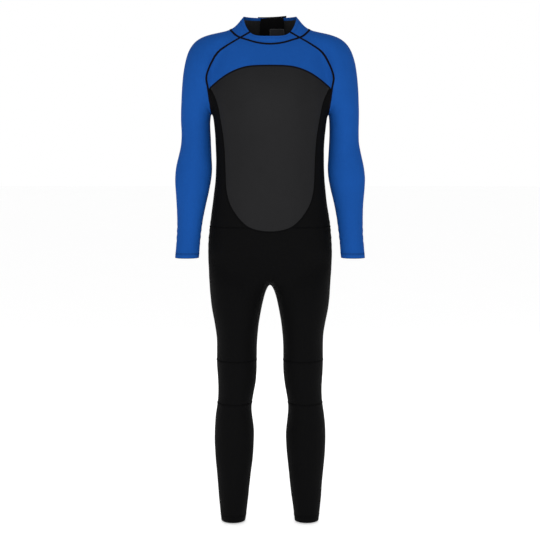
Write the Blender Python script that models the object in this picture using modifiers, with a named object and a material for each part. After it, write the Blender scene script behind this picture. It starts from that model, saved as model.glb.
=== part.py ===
"""Full-length back-zip wetsuit: neoprene panels, flatlock seams, zip, neck tab and flexing limbs.

Metres, +Z up, the front faces -Y and the wearer's left is +X. Heights in the tables are measured
from the ankle edge; the finished suit hangs from the origin, which lies in the neck opening.
"""
import math

import bmesh
import bpy
import numpy as np
from mathutils import Matrix, Vector

# Grading: the tables below draw the base pattern, and these two sizes stretch it.
SUIT_LENGTH = 1.495
CHEST_HALF_WIDTH = 0.162
BASE_LENGTH = 1.495
BASE_CHEST_HALF_WIDTH = 0.162
UP = SUIT_LENGTH / BASE_LENGTH
ROUND = CHEST_HALF_WIDTH / BASE_CHEST_HALF_WIDTH

HANG_HEIGHT = 1.46 * UP

FOAM = 0.003
PANEL_GAP = 0.0005
# A corner of the surface this close to a seam line counts as lying on it.
ON_LINE = 0.00015
SEAM_WIDTH = 0.006
CHEST_SEAM_WIDTH = 0.0045
SEAM_THICKNESS = 0.0008
SEAM_LIFT = 0.0003

ZIP_TOP = 1.385 * UP
ZIP_SLOT = 0.009
TOOTH_PITCH = 0.0125
TOOTH_HALF_WIDTH = 0.0018
TOOTH_BACKBONE = 0.0009
TOOTH_DEPTH = 0.0032
TAPE_EDGE = 0.0020
TAPE_WIDTH = 0.010
TAPE_THICKNESS = 0.0008
TAPE_CLEARANCE = 0.0024
TAPE_OVERRUN = 0.008
STOP_LENGTH = 0.005
STOP_HALF_WIDTH = 0.42 * ZIP_SLOT
RUNNING_GAP = 0.0005

SLIDER_LENGTH = 0.012
SLIDER_WIDTH = 0.0084
SLIDER_PLATE = 0.0012
POST_WIDTH = 0.0024
POST_LENGTH = 0.0030
BAIL_LENGTH = 0.0050
# The bail's lower end and the puller's bar, measured down from the slider's top.
BAIL_DROP = 0.0060
PULLER_DROP = 0.0035
BAIL_WIDTH = 0.0020
BAIL_SLOT = 0.0022
BAIL_WIRE = 0.0010
PULLER_LENGTH = 0.024
PULLER_WIDTH = 0.0062
PULLER_THICKNESS = 0.0012
PULLER_WINDOW = 0.0032
PULLER_REACH = 0.0036

FLAP_HALF_WIDTH = 0.032
FLAP_THICKNESS = 0.002
FLAP_DEPTH = 0.0105

TAB_LEFT = 0.046 * ROUND
TAB_RIGHT = -0.034 * ROUND
TAB_TOP = 1.500 * UP
TAB_BOTTOM = 1.466 * UP
TAB_THICKNESS = 0.002
TAB_GAP = 0.0012
PATCH_LEFT = -0.010 * ROUND
PATCH_THICKNESS = 0.0008
LABEL_WIDTH = 0.040
LABEL_HEIGHT = 0.020
LABEL_CENTRE = (0.0280 * ROUND, 1.462 * UP)
LABEL_THICKNESS = 0.0005

HEM_HEIGHT = 0.013
ANKLE_HEM_HEIGHT = 0.018
WAIST_HEIGHT = 0.885 * UP
BACK_YOKE_HEIGHT = 1.315 * UP

# The front neck line turns into the back one this far to either side of the shoulder.
NECK_TURN = 0.012 * ROUND
# The neck seam is looked for only above this height and this close to the middle.
NECK_FLOOR = 1.38 * UP
NECK_REACH = 0.135 * ROUND
# The front raglan curve is drawn in front of this depth and the back one behind it.
SHOULDER_LINE = 0.004 * ROUND
# The raised seam bands stop here, where the underarm folds.
UNDERARM_HEIGHT = 1.235 * UP

ELBOW_TOP = 1.100 * UP
ELBOW_BOTTOM = 1.020 * UP
KNEE_TOP = 0.490 * UP
KNEE_BOTTOM = 0.360 * UP
SHOULDER_START = 0.012
SHOULDER_END = 0.052
SHOULDER_LEAN = math.radians(60.0)
HIP_START = 0.012
HIP_END = 0.107
HIP_LEAN = math.radians(30.0)

# Joint centres on the wearer's left, on the base pattern.
SHOULDER_PIVOT = (0.245, 0.004, 1.285)
ELBOW_PIVOT = (0.224, -0.020, 1.060)
HIP_PIVOT = (0.095, -0.050, 0.698)
KNEE_PIVOT = (0.100, 0.028, 0.425)

# Torso rings from the crotch up:
# height at front, side and back, half width, front depth, back depth, squareness.
TORSO = (
    (0.740, 0.792, 0.735, 0.183, 0.076, 0.086, 2.2),
    (0.800, 0.830, 0.805, 0.182, 0.092, 0.112, 2.3),
    (0.880, 0.890, 0.880, 0.177, 0.098, 0.0900, 2.3),
    (0.948, 0.948, 0.948, 0.167, 0.098, 0.0935, 2.4),
    (1.030, 1.030, 1.030, 0.1575, 0.098, 0.0950, 2.4),
    (1.120, 1.120, 1.120, 0.1560, 0.108, 0.0965, 2.4),
    (1.205, 1.215, 1.205, 0.166, 0.118, 0.0980, 2.4),
    (1.270, 1.270, 1.270, 0.176, 0.117, 0.0990, 2.4),
    (1.340, 1.345, 1.340, 0.174, 0.100, 0.0995, 2.4),
    (1.394, 1.434, 1.415, 0.148, 0.076, 0.1035, 2.2),
    (1.4135, 1.453, 1.456, 0.1150, 0.0640, 0.0850, 2.0),
    (1.4220, 1.476, 1.475, 0.0930, 0.0610, 0.0770, 2.0),
    (1.4345, 1.496, 1.496, 0.0775, 0.0590, 0.0710, 2.0),
)
# How squarely the front of each of the last torso rings dips: 2 is a plain slope, more is a wide scoop.
NECK_SCOOP = (2.0, 3.0, 4.5, 7.0)
TORSO_COLUMNS = 16
ARMHOLE_RINGS = (6, 10)
CROTCH = (0.0, 0.012, 0.712)

# Sleeve rings from the shoulder down: inner x, inner z, outer x, outer z, middle y, half depth.
SLEEVE = (
    (0.1722, 1.212, 0.193, 1.443, 0.004, 0.080),
    (0.1735, 1.200, 0.238, 1.409, 0.004, 0.070),
    (0.1745, 1.178, 0.2565, 1.322, 0.005, 0.060),
    (0.1733, 1.132, 0.2620, 1.200, 0.006, 0.054),
    (0.1713, 1.085, 0.2553, 1.125, 0.005, 0.049),
    (0.1670, 1.035, 0.2842, 1.045, -0.002, 0.0475),
    (0.1890, 0.950, 0.2722, 0.950, -0.010, 0.0440),
    (0.2020, 0.875, 0.2710, 0.875, -0.020, 0.0375),
    (0.2080, 0.794, 0.2780, 0.794, -0.029, 0.0320),
)

# Leg rings from the crotch down, in the same order.
LEG = (
    (0.0150, 0.690, 0.1790, 0.728, 0.004, 0.097),
    (0.0270, 0.640, 0.1765, 0.655, 0.000, 0.091),
    (0.0400, 0.555, 0.1535, 0.560, -0.004, 0.080),
    (0.0378, 0.475, 0.1598, 0.480, -0.005, 0.069),
    (0.0435, 0.405, 0.1515, 0.405, -0.003, 0.061),
    (0.0595, 0.348, 0.1575, 0.348, 0.004, 0.060),
    (0.0450, 0.278, 0.1682, 0.278, 0.014, 0.062),
    (0.0500, 0.200, 0.1650, 0.200, 0.014, 0.056),
    (0.0740, 0.000, 0.1460, 0.000, 0.006, 0.039),
)

WRIST_HEIGHT = SLEEVE[-1][1] * UP
ANKLE_HEIGHT = LEG[-1][1] * UP

# Seam lines on the pattern, as points that a smooth curve runs through.
RAGLAN_FRONT = ((0.030, 1.464), (0.056, 1.448), (0.0895, 1.4285), (0.128, 1.4055), (0.147, 1.3915), (0.160, 1.3745),
                (0.1755, 1.342), (0.1825, 1.314), (0.178, 1.285), (0.1715, 1.235), (0.1690, 1.210), (0.1655, 1.180),
                (0.1640, 1.100), (0.1650, 1.020), (0.180, 0.900), (0.193, 0.800), (0.200, 0.700))
RAGLAN_BACK = ((0.040, 1.500), (0.065, 1.478), (0.095, 1.452), (0.140, 1.408), (0.170, 1.355), (0.179, 1.310),
               (0.1765, 1.270), (0.1715, 1.235), (0.1690, 1.210), (0.1655, 1.180), (0.1640, 1.100), (0.1650, 1.020),
               (0.180, 0.900), (0.193, 0.800), (0.200, 0.700))
NECK_FRONT = ((-0.034, 1.4150), (0.0, 1.4115), (0.034, 1.4150), (0.0665, 1.4245), (0.0935, 1.4350), (0.1125, 1.4525),
              (0.125, 1.470))
NECK_BACK = ((-0.030, 1.4580), (0.0, 1.4580), (0.060, 1.4580), (0.1155, 1.4585), (0.150, 1.4590))
CHEST_TOP = ((-0.045, 1.3475), (0.0, 1.3485), (0.045, 1.3475), (0.078, 1.3425), (0.113, 1.329), (0.145, 1.309),
             (0.171, 1.2875), (0.192, 1.268))
CHEST_SIDE = ((0.198, 1.335), (0.175, 1.290), (0.1540, 1.245), (0.1420, 1.187), (0.1350, 1.140), (0.1315, 1.093),
              (0.1300, 1.047), (0.1280, 1.000), (0.1238, 0.975), (0.1170, 0.953), (0.1045, 0.930), (0.0864, 0.9065),
              (0.0640, 0.8875), (0.035, 0.8770), (0.0, 0.8735), (-0.035, 0.8770))
BACK_SIDE = ((0.168, 1.400), (0.150, 1.300), (0.138, 1.200), (0.124, 1.080), (0.120, 0.980), (0.130, 0.840))

BLUE = (0.0130, 0.0860, 0.3400)
BLACK = (0.0060, 0.0060, 0.0070)
CHARCOAL = (0.0175, 0.0175, 0.0190)
SEAM_BLACK = (0.0080, 0.0070, 0.0100)
LABEL_GREY = (0.060, 0.060, 0.064)


def graded(x, y, z):
    """A point of the base pattern at this suit's size."""
    return Vector((x * ROUND, y * ROUND, z * UP))


def ring_fullness(columns):
    """How far a ring of cage points stands outside the smooth surface it makes."""
    return 6.0 / (4.0 + 2.0 * math.cos(2.0 * math.pi / columns))


def torso_ring(section, scoop=2.0):
    front_z, side_z, back_z, half_width, front, back, squareness = section
    fullness = ring_fullness(TORSO_COLUMNS)
    points = []
    for column in range(TORSO_COLUMNS):
        angle = 2.0 * math.pi * column / TORSO_COLUMNS
        sine = math.sin(angle)
        cosine = math.cos(angle)
        x = math.copysign(abs(sine) ** (2.0 / squareness), sine) * half_width * fullness
        reach = abs(cosine) ** (2.0 / squareness) * fullness
        y = -front * reach if cosine > 0.0 else back * reach
        end_z = front_z if cosine > 0.0 else back_z
        dip = 1.0 - abs(sine) ** (scoop if cosine > 0.0 else 2.0)
        points.append(graded(x, y, side_z + (end_z - side_z) * dip))
    return points


def limb_ring(section, side, columns):
    """Points around a limb, starting at its inner side and running over its front."""
    inner_x, inner_z, outer_x, outer_z, middle_y, half_depth = section
    fullness = ring_fullness(columns)
    points = []
    for column in range(columns):
        angle = 2.0 * math.pi * column / columns
        across = 0.5 - 0.5 * math.cos(angle) * fullness
        x = inner_x + (outer_x - inner_x) * across
        z = inner_z + (outer_z - inner_z) * across
        y = middle_y - half_depth * math.sin(angle) * fullness
        points.append(graded(side * x, y, z))
    return points


def extrude_ring(bm, ring, points):
    """Extrude an open ring of vertices and move the new ring to the given points."""
    size = len(ring)
    edges = [bm.edges.get((ring[i], ring[(i + 1) % size])) for i in range(size)]
    made = bmesh.ops.extrude_edge_only(bm, edges=edges)["geom"]
    fresh = {item for item in made if isinstance(item, bmesh.types.BMVert)}
    next_ring = []
    for vert, point in zip(ring, points):
        twin = next(edge.other_vert(vert) for edge in vert.link_edges if edge.other_vert(vert) in fresh)
        next_ring.append(twin)
        twin.co = point
    return next_ring


def body_cage():
    """The coarse cage of the whole suit: torso and collar, then two legs and two sleeves."""
    bm = bmesh.new()
    ring = list(bmesh.ops.create_circle(bm, segments=TORSO_COLUMNS, radius=CHEST_HALF_WIDTH)["verts"])
    for vert, point in zip(ring, torso_ring(TORSO[0])):
        vert.co = point
    rings = [ring]
    for row, section in enumerate(TORSO[1:], 1):
        scoop = NECK_SCOOP[max(0, row - len(TORSO) + len(NECK_SCOOP))]
        rings.append(extrude_ring(bm, rings[-1], torso_ring(section, scoop)))
    half = TORSO_COLUMNS // 2
    crotch = bm.verts.new(graded(*CROTCH))
    bm.edges.new((rings[0][0], crotch))
    bm.edges.new((crotch, rings[0][half]))
    for side in (1, -1):
        add_leg(bm, rings[0], crotch, side)
        add_sleeve(bm, rings, side)
    bmesh.ops.recalc_face_normals(bm, faces=bm.faces)
    return bm


def add_leg(bm, hip_ring, crotch, side):
    half = TORSO_COLUMNS // 2
    around = [hip_ring[(side * column) % TORSO_COLUMNS] for column in range(half + 1)]
    ring = [crotch] + around
    for section in LEG:
        ring = extrude_ring(bm, ring, limb_ring(section, side, len(ring)))


def add_sleeve(bm, rings, side):
    low, high = ARMHOLE_RINGS
    quarter = TORSO_COLUMNS // 4
    front, middle, back = ((side * (quarter + step)) % TORSO_COLUMNS for step in (-1, 0, 1))
    opening = {rings[row][column] for row in range(low, high + 1) for column in (front, middle, back)}
    cut = [face for face in bm.faces if all(vert in opening for vert in face.verts)]
    ring = [rings[low][middle]]
    ring += [rings[row][front] for row in range(low, high + 1)]
    ring += [rings[high][middle]]
    ring += [rings[row][back] for row in range(high, low - 1, -1)]
    bmesh.ops.delete(bm, geom=cut, context="FACES")
    for section in SLEEVE:
        ring = extrude_ring(bm, ring, limb_ring(section, side, len(ring)))


def smooth_body(levels):
    """The suit's outer surface, subdivided from its cage."""
    mesh = bpy.data.meshes.new("body")
    cage = body_cage()
    cage.to_mesh(mesh)
    cage.free()
    body = bpy.data.objects.new("body", mesh)
    bpy.context.scene.collection.objects.link(body)
    subdivide = body.modifiers.new("smooth", "SUBSURF")
    subdivide.levels = levels
    subdivide.render_levels = levels
    bpy.context.view_layer.update()
    finished = body.evaluated_get(bpy.context.evaluated_depsgraph_get())
    smooth = bpy.data.meshes.new_from_object(finished)
    bpy.data.objects.remove(body)
    bpy.data.meshes.remove(mesh)
    return smooth


def smooth_curve(points, steps=8):
    """Points along a Catmull-Rom curve through the given points."""
    points = np.array(points)
    before = np.vstack((2 * points[0] - points[1], points[:-1]))
    after = np.vstack((points[1:], 2 * points[-1] - points[-2]))
    slope = (after - before) / 2.0
    t = np.linspace(0.0, 1.0, steps, endpoint=False)[:, None]
    pieces = []
    for i in range(len(points) - 1):
        p, q, u, v = points[i], points[i + 1], slope[i], slope[i + 1]
        pieces.append((2 * t**3 - 3 * t**2 + 1) * p + (t**3 - 2 * t**2 + t) * u
                      + (3 * t**2 - 2 * t**3) * q + (t**3 - t**2) * v)
    pieces.append(points[-1:])
    return np.vstack(pieces)


class Line:
    """A seam drawn on a flat pattern; calling it gives each point's signed distance from it."""

    def __init__(self, points, sign=1.0):
        curve = smooth_curve([(p * ROUND, q * UP) for p, q in points])
        self.start = curve[:-1]
        self.step = curve[1:] - curve[:-1]
        self.sign = sign

    def __call__(self, flat):
        offset = flat[:, None, :] - self.start[None]
        length = (self.step**2).sum(1)
        along = np.clip((offset * self.step[None]).sum(2) / length[None], 0.0, 1.0)
        miss = offset - along[:, :, None] * self.step[None]
        distance = np.sqrt((miss**2).sum(2))
        nearest = distance.argmin(1)
        rows = np.arange(len(flat))
        step = self.step[nearest]
        toward = offset[rows, nearest]
        turn = step[:, 0] * toward[:, 1] - step[:, 1] * toward[:, 0]
        return self.sign * np.sign(turn) * distance[rows, nearest]


def front_view(co):
    return np.column_stack((np.abs(co[:, 0]), co[:, 2]))


class Pattern:
    """Every seam and joint line of the suit, as fields over the body surface."""

    def __init__(self):
        self.raglan_front = Line(RAGLAN_FRONT)
        self.raglan_back = Line(RAGLAN_BACK)
        self.neck_front = Line(NECK_FRONT)
        self.neck_back = Line(NECK_BACK)
        self.chest_top = Line(CHEST_TOP, -1.0)
        self.chest_side = Line(CHEST_SIDE, -1.0)
        self.back_side = Line(BACK_SIDE, -1.0)
        self.crotch = graded(*CROTCH)
        self.armpit = graded(0.170, 0.0, 1.210)

    def raglan(self, co):
        """Positive on the sleeve."""
        flat = front_view(co)
        return np.where(co[:, 1] < SHOULDER_LINE, self.raglan_front(flat), self.raglan_back(flat))

    def neck(self, co):
        """Positive on the collar."""
        flat = front_view(co)
        share = np.clip((co[:, 1] + NECK_TURN) / (2.0 * NECK_TURN), 0.0, 1.0)
        return (1.0 - share) * self.neck_front(flat) + share * self.neck_back(flat)

    def chest(self, co):
        """Positive inside the chest panel."""
        flat = front_view(co)
        return np.minimum(self.chest_top(flat), self.chest_side(flat))

    def back_strip(self, co):
        """Positive between the zip and the side panel."""
        return self.back_side(front_view(co))

    def shoulder(self, co):
        """Distance down the sleeve from the plane through the armpit."""
        x = np.abs(co[:, 0]) - self.armpit.x
        return x * math.sin(SHOULDER_LEAN) - (co[:, 2] - self.armpit.z) * math.cos(SHOULDER_LEAN)

    def hip(self, co):
        """Distance down the leg from the plane through the crotch."""
        return np.abs(co[:, 0]) * math.sin(HIP_LEAN) - (co[:, 2] - self.crotch.z) * math.cos(HIP_LEAN)

    def height(self, co):
        return co[:, 2]

    def middle(self, co):
        return np.abs(co[:, 0])

    def depth(self, co):
        return co[:, 1]


def coordinates(bm):
    return np.array([vert.co[:] for vert in bm.verts])


def cut(bm, field, value, where):
    """Cut every face along the curve where the field has the given value."""
    bm.verts.index_update()
    co = coordinates(bm)
    level = field(co) - value
    inside = where(co)
    level[np.abs(level) < ON_LINE] = 0.0
    edges = [e for e in bm.edges if inside[e.verts[0].index] and inside[e.verts[1].index]
             and level[e.verts[0].index] * level[e.verts[1].index] < 0.0]
    if not edges:
        return
    on_line = [vert for vert in bm.verts if inside[vert.index] and level[vert.index] == 0.0]
    first = co[[e.verts[0].index for e in edges]]
    second = co[[e.verts[1].index for e in edges]]
    rising = level[[e.verts[1].index for e in edges]] > 0.0
    low = np.zeros(len(edges))
    high = np.ones(len(edges))
    for _ in range(20):
        half = (low + high) / 2.0
        above = field(first + (second - first) * half[:, None]) - value > 0.0
        past = above == rising
        high = np.where(past, half, high)
        low = np.where(past, low, half)
    for edge, share in zip(edges, (low + high) / 2.0):
        on_line.append(bmesh.utils.edge_split(edge, edge.verts[0], share)[1])
    bmesh.ops.connect_verts(bm, verts=on_line)


def extreme(values, face):
    """The field value furthest from zero among a face's corners."""
    return max((values[vert.index] for vert in face.verts), key=abs)


class Place:
    """Where one face lies among the seam lines."""

    def __init__(self, face, levels):
        self.centre = face.calc_center_median()
        self.face = face
        self.levels = levels

    def beyond(self, name, value=0.0):
        """Whether the face lies past a line, told by its corner furthest from that line."""
        return extreme(self.levels[name] - value, self.face) > 0.0

    def within(self, name, half):
        """Whether the face lies inside a band along a line."""
        return abs(extreme(self.levels[name], self.face)) < half + PANEL_GAP / 2.0


def panel_name(place):
    """The panel that a face belongs to, or None in the zip's slot."""
    side = "left" if place.centre.x > 0.0 else "right"
    front = place.centre.y < 0.0
    in_slot = not front and not place.beyond("middle", ZIP_SLOT / 2.0)
    if place.beyond("neck"):
        if front and not place.beyond("raglan"):
            return "collar_front"
        return None if in_slot else "collar_" + side
    if place.beyond("raglan"):
        return sleeve_panel(place) + "_" + side
    if place.beyond("height", WAIST_HEIGHT) or (front and place.beyond("chest")):
        return None if in_slot else torso_panel(place, side, front)
    return lower_panel(place, side)


def sleeve_panel(place):
    if not place.beyond("shoulder", SHOULDER_START):
        return "sleeve_cap"
    if not place.beyond("shoulder", SHOULDER_END):
        return "shoulder_band"
    if place.beyond("height", ELBOW_TOP):
        return "upper_sleeve"
    if place.beyond("height", ELBOW_BOTTOM):
        return "elbow_band"
    return "lower_sleeve" if place.beyond("height", WRIST_HEIGHT + HEM_HEIGHT) else "wrist_hem"


def torso_panel(place, side, front):
    if front:
        if place.beyond("chest"):
            return "chest_panel"
        return "side_panel_" + side if place.beyond("chest_top") else "front_yoke"
    if place.beyond("height", BACK_YOKE_HEIGHT):
        return "back_yoke_" + side
    return "back_panel_" + side if place.beyond("back_strip") else "side_panel_" + side


def lower_panel(place, side):
    if not place.beyond("hip", HIP_START):
        return "seat" if place.beyond("depth", CROTCH[1] * ROUND) else "pelvis_front"
    if not place.beyond("hip", HIP_END):
        return "hip_band_" + side
    if place.beyond("height", KNEE_TOP):
        return "thigh_" + side
    if place.beyond("height", KNEE_BOTTOM):
        return "knee_panel_" + side
    return ("shin_" if place.beyond("height", ANKLE_HEIGHT + ANKLE_HEM_HEIGHT) else "ankle_hem_") + side


def seam_cuts(pattern):
    """Each line that the body is cut along: its field, its values and where it is drawn."""
    armpit = pattern.armpit.z
    neck = pattern.neck
    half = SEAM_WIDTH / 2.0
    chest_half = CHEST_SEAM_WIDTH / 2.0

    def on_sleeve(co):
        return (pattern.raglan(co) > 0.0) & (neck(co) < 0.0)

    def on_body(co):
        return (pattern.raglan(co) < PANEL_GAP) & (neck(co) < PANEL_GAP)

    def behind(co):
        return on_body(co) & (co[:, 1] > 0.0)

    def at_neck(co):
        return (co[:, 2] > NECK_FLOOR) & (np.abs(co[:, 0]) < NECK_REACH)

    def at_raglan(co):
        return (co[:, 2] > armpit - 0.08) & ((co[:, 1] < SHOULDER_LINE) | (neck(co) < 0.010))

    def at_underarm(co):
        return np.abs(pattern.raglan(co)) < SEAM_WIDTH / 2.0 + PANEL_GAP

    def off_chest(co):
        return on_body(co) & ((co[:, 1] > 0.0) | (pattern.chest(co) < PANEL_GAP))

    def below_waist(co):
        return on_body(co) & (co[:, 2] < WAIST_HEIGHT + 0.01)

    def on_pelvis(co):
        return below_waist(co) & (pattern.hip(co) < HIP_START + 0.002)

    def on_front(co):
        return on_body(co) & (co[:, 1] < 0.0)

    def on_back_panel(co):
        return behind(co) & (co[:, 2] > WAIST_HEIGHT - 0.01) & (co[:, 2] < BACK_YOKE_HEIGHT + 0.01)

    def at_slot(co):
        return (co[:, 1] > 0.0) & (co[:, 2] > WAIST_HEIGHT - 0.01)

    return (
        (pattern.neck, (-half, 0.0, half), at_neck),
        (pattern.raglan, (-half, 0.0, half), at_raglan),
        (pattern.chest, (-chest_half, 0.0, chest_half), on_front),
        (pattern.height, (UNDERARM_HEIGHT,), at_underarm),
        (pattern.height, (WAIST_HEIGHT,), off_chest),
        (pattern.height, (BACK_YOKE_HEIGHT,), behind),
        (pattern.back_strip, (0.0,), on_back_panel),
        (pattern.depth, (CROTCH[1] * ROUND,), on_pelvis),
        (pattern.hip, (HIP_START, HIP_END), below_waist),
        (pattern.height, (KNEE_TOP, KNEE_BOTTOM, ANKLE_HEIGHT + ANKLE_HEM_HEIGHT), below_waist),
        (pattern.shoulder, (SHOULDER_START, SHOULDER_END), on_sleeve),
        (pattern.height, (ELBOW_TOP, ELBOW_BOTTOM, WRIST_HEIGHT + HEM_HEIGHT), on_sleeve),
        (pattern.middle, (ZIP_SLOT / 2.0,), at_slot),
    )


def face_levels(bm, pattern):
    """Each seam field at every vertex of the cut body."""
    bm.verts.index_update()
    co = coordinates(bm)
    at_neck = (co[:, 2] > NECK_FLOOR) & (np.abs(co[:, 0]) < NECK_REACH)
    return {
        "neck": np.where(at_neck, pattern.neck(co), -1.0),
        "raglan": pattern.raglan(co),
        "chest": pattern.chest(co),
        "chest_top": pattern.chest_top(front_view(co)),
        "back_strip": pattern.back_strip(co),
        "shoulder": pattern.shoulder(co),
        "hip": pattern.hip(co),
        "height": co[:, 2],
        "middle": np.abs(co[:, 0]),
        "depth": co[:, 1],
    }


def seam_name(place):
    """The seam band that covers a face, or None."""
    half = SEAM_WIDTH / 2.0
    side = "left" if place.centre.x > 0.0 else "right"
    front = place.centre.y < 0.0
    if not front and not place.beyond("middle", ZIP_SLOT / 2.0):
        return None
    if place.within("neck", half):
        return "neck_seam"
    if place.within("raglan", half) and place.beyond("height", UNDERARM_HEIGHT):
        if not place.beyond("neck"):
            return ("raglan_front_seam_" if front else "raglan_back_seam_") + side
        return "collar_seam_" + side if front else None
    if front and place.within("chest", CHEST_SEAM_WIDTH / 2.0) and not place.beyond("raglan"):
        return "chest_arc_seam" if place.within("chest_top", CHEST_SEAM_WIDTH / 2.0) else "chest_side_seam"
    return None


def store_outward(bm):
    """Keep the whole body's normals, so that neighbouring panels thicken in the same direction."""
    bm.normal_update()
    outward = bm.verts.layers.float_vector.new("outward")
    for vert in bm.verts:
        vert[outward] = vert.normal


def thicken(bm, outer, inner):
    """Turn an open surface into a solid between two distances along the stored normals."""
    outward = bm.verts.layers.float_vector["outward"]
    for vert in bm.verts:
        vert.co += vert[outward] * outer
    made = bmesh.ops.extrude_face_region(bm, geom=list(bm.faces))["geom"]
    for item in made:
        if isinstance(item, bmesh.types.BMVert):
            item.co -= item[outward] * (outer - inner)
    bmesh.ops.triangulate(bm, faces=bm.faces)
    bmesh.ops.recalc_face_normals(bm, faces=bm.faces)
    if bm.calc_volume(signed=True) < 0.0:
        bmesh.ops.reverse_faces(bm, faces=bm.faces)


def kept_faces(source, keep):
    """A copy of the surface with only the faces that pass the test."""
    bm = source.copy()
    source.faces.index_update()
    bm.faces.ensure_lookup_table()
    wanted = {face.index for face in source.faces if keep(face)}
    bm.faces.index_update()
    bmesh.ops.delete(bm, geom=[f for f in bm.faces if f.index not in wanted], context="FACES")
    return bm


def draw_in(bm, distance):
    """Draw an open surface's edges in, so that neighbours cut from one surface stay apart."""
    rim = bmesh.ops.inset_region(bm, faces=list(bm.faces), use_boundary=True, use_even_offset=True,
                                 thickness=distance)["faces"]
    bmesh.ops.delete(bm, geom=rim, context="FACES")


def level_hem(bm, bottom):
    """Make a hem's lower edge flat, square to the hanging limb."""
    for vert in bm.verts:
        if vert.co.z < bottom + FOAM / 2.0:
            vert.co.z = bottom


def cut_body(surface, pattern):
    """Every panel and seam band of the suit as a thick solid, by name."""
    bm = surface.copy()
    for field, values, where in seam_cuts(pattern):
        for value in values:
            cut(bm, field, value, where)
    store_outward(bm)
    levels = face_levels(bm, pattern)
    bm.faces.index_update()
    places = [Place(face, levels) for face in bm.faces]
    pieces = {}
    for namer, outer, inner in ((panel_name, 0.0, -FOAM),
                                (seam_name, SEAM_LIFT + SEAM_THICKNESS, SEAM_LIFT)):
        names = [namer(place) for place in places]
        for name in sorted({name for name in names if name}):
            piece = kept_faces(bm, lambda face: names[face.index] == name)
            draw_in(piece, PANEL_GAP / 2.0)
            thicken(piece, outer, inner)
            pieces[name] = piece
    for side in ("left", "right"):
        level_hem(pieces["wrist_hem_" + side], WRIST_HEIGHT)
        level_hem(pieces["ankle_hem_" + side], ANKLE_HEIGHT)
    bm.free()
    return pieces


def strip(surface, lines, keep, outer, inner):
    """A solid cut out of the body surface between lines, lying between two depths."""
    bm = surface.copy()
    for field, value, where in lines:
        cut(bm, field, value, where)
    store_outward(bm)
    bm.verts.index_update()
    co = coordinates(bm)
    levels = [field(co) - value for field, value, _ in lines]
    inside = kept_faces(bm, lambda face: keep(face.calc_center_median(), [extreme(v, face) for v in levels]))
    bm.free()
    thicken(inside, outer, inner)
    return inside


def across(co):
    return co[:, 0]


def height(co):
    return co[:, 2]


def back_area(co):
    return (co[:, 1] > 0.0) & (co[:, 2] > WAIST_HEIGHT - 0.02)


def label_across(co):
    return np.abs(co[:, 0] - LABEL_CENTRE[0])


def label_up(co):
    return np.abs(co[:, 2] - LABEL_CENTRE[1])


def inner_strips(surface, pattern):
    """The flap behind the zip, the blank label inside it and the loop patch on the collar."""
    lining = -FLAP_DEPTH - FLAP_THICKNESS - RUNNING_GAP
    flap = strip(
        surface,
        ((pattern.middle, FLAP_HALF_WIDTH, back_area), (height, WAIST_HEIGHT, back_area)),
        lambda centre, level: centre.y > 0.0 and level[0] < 0.0 < level[1],
        -FLAP_DEPTH, -FLAP_DEPTH - FLAP_THICKNESS)
    label = strip(
        surface,
        ((label_across, LABEL_WIDTH / 2.0, back_area), (label_up, LABEL_HEIGHT / 2.0, back_area)),
        lambda centre, level: centre.y > 0.0 and level[0] < 0.0 and level[1] < 0.0,
        lining, lining - LABEL_THICKNESS)
    patch = strip(
        surface,
        ((across, PATCH_LEFT, back_area), (across, TAB_RIGHT, back_area), (height, TAB_BOTTOM, back_area)),
        lambda centre, level: centre.y > 0.0 and level[0] < 0.0 < level[1] and level[2] > 0.0,
        2.0 * SEAM_LIFT + PATCH_THICKNESS, 2.0 * SEAM_LIFT)
    return {"zip_backing_flap": flap, "neck_label": label, "loop_patch": patch}


def spine_line(surface):
    """Depth and lean of the straight line that the zip follows down the middle of the back."""
    points = [vert.co for vert in surface.verts
              if abs(vert.co.x) < 1e-5 and vert.co.y > 0.0 and WAIST_HEIGHT < vert.co.z < ZIP_TOP]
    lean, depth = np.polyfit([p.z for p in points], [p.y for p in points], 1)
    return lean, depth


def box(x, y, z):
    """A box between two limits on each axis."""
    bm = bmesh.new()
    size = [limits[1] - limits[0] for limits in (x, y, z)]
    middle = [(limits[1] + limits[0]) / 2.0 for limits in (x, y, z)]
    place = Matrix.Translation(middle) @ Matrix.Diagonal((*size, 1.0))
    bmesh.ops.create_cube(bm, size=1.0, matrix=place)
    return bm


def tooth_row(side, length):
    """One row of teeth: a backbone along the tape's edge with teeth standing out from it."""
    low = -FOAM - TAPE_CLEARANCE + PANEL_GAP
    inner = side * (TOOTH_HALF_WIDTH - TOOTH_BACKBONE)
    outer = side * TOOTH_HALF_WIDTH
    bm = box(sorted((inner, outer)), (low, low + TOOTH_DEPTH), (0.0, length))
    count = int(length / TOOTH_PITCH)
    edges = [e for e in bm.edges if abs(e.verts[0].co.z - e.verts[1].co.z) > length / 2.0
             and abs(e.verts[0].co.x - inner) < 1e-6]
    bmesh.ops.subdivide_edges(bm, edges=edges, cuts=2 * count - 1, use_grid_fill=True)
    bm.normal_update()
    faces = sorted((f for f in bm.faces if f.normal.x * side < -0.9), key=lambda f: f.calc_center_median().z)
    teeth = faces[0::2] if side > 0 else faces[1::2]
    made = bmesh.ops.extrude_discrete_faces(bm, faces=teeth)["faces"]
    for vert in {vert for face in made for vert in face.verts}:
        vert.co.x = side * PANEL_GAP / 2.0
    bmesh.ops.recalc_face_normals(bm, faces=bm.faces)
    return bm


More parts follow.
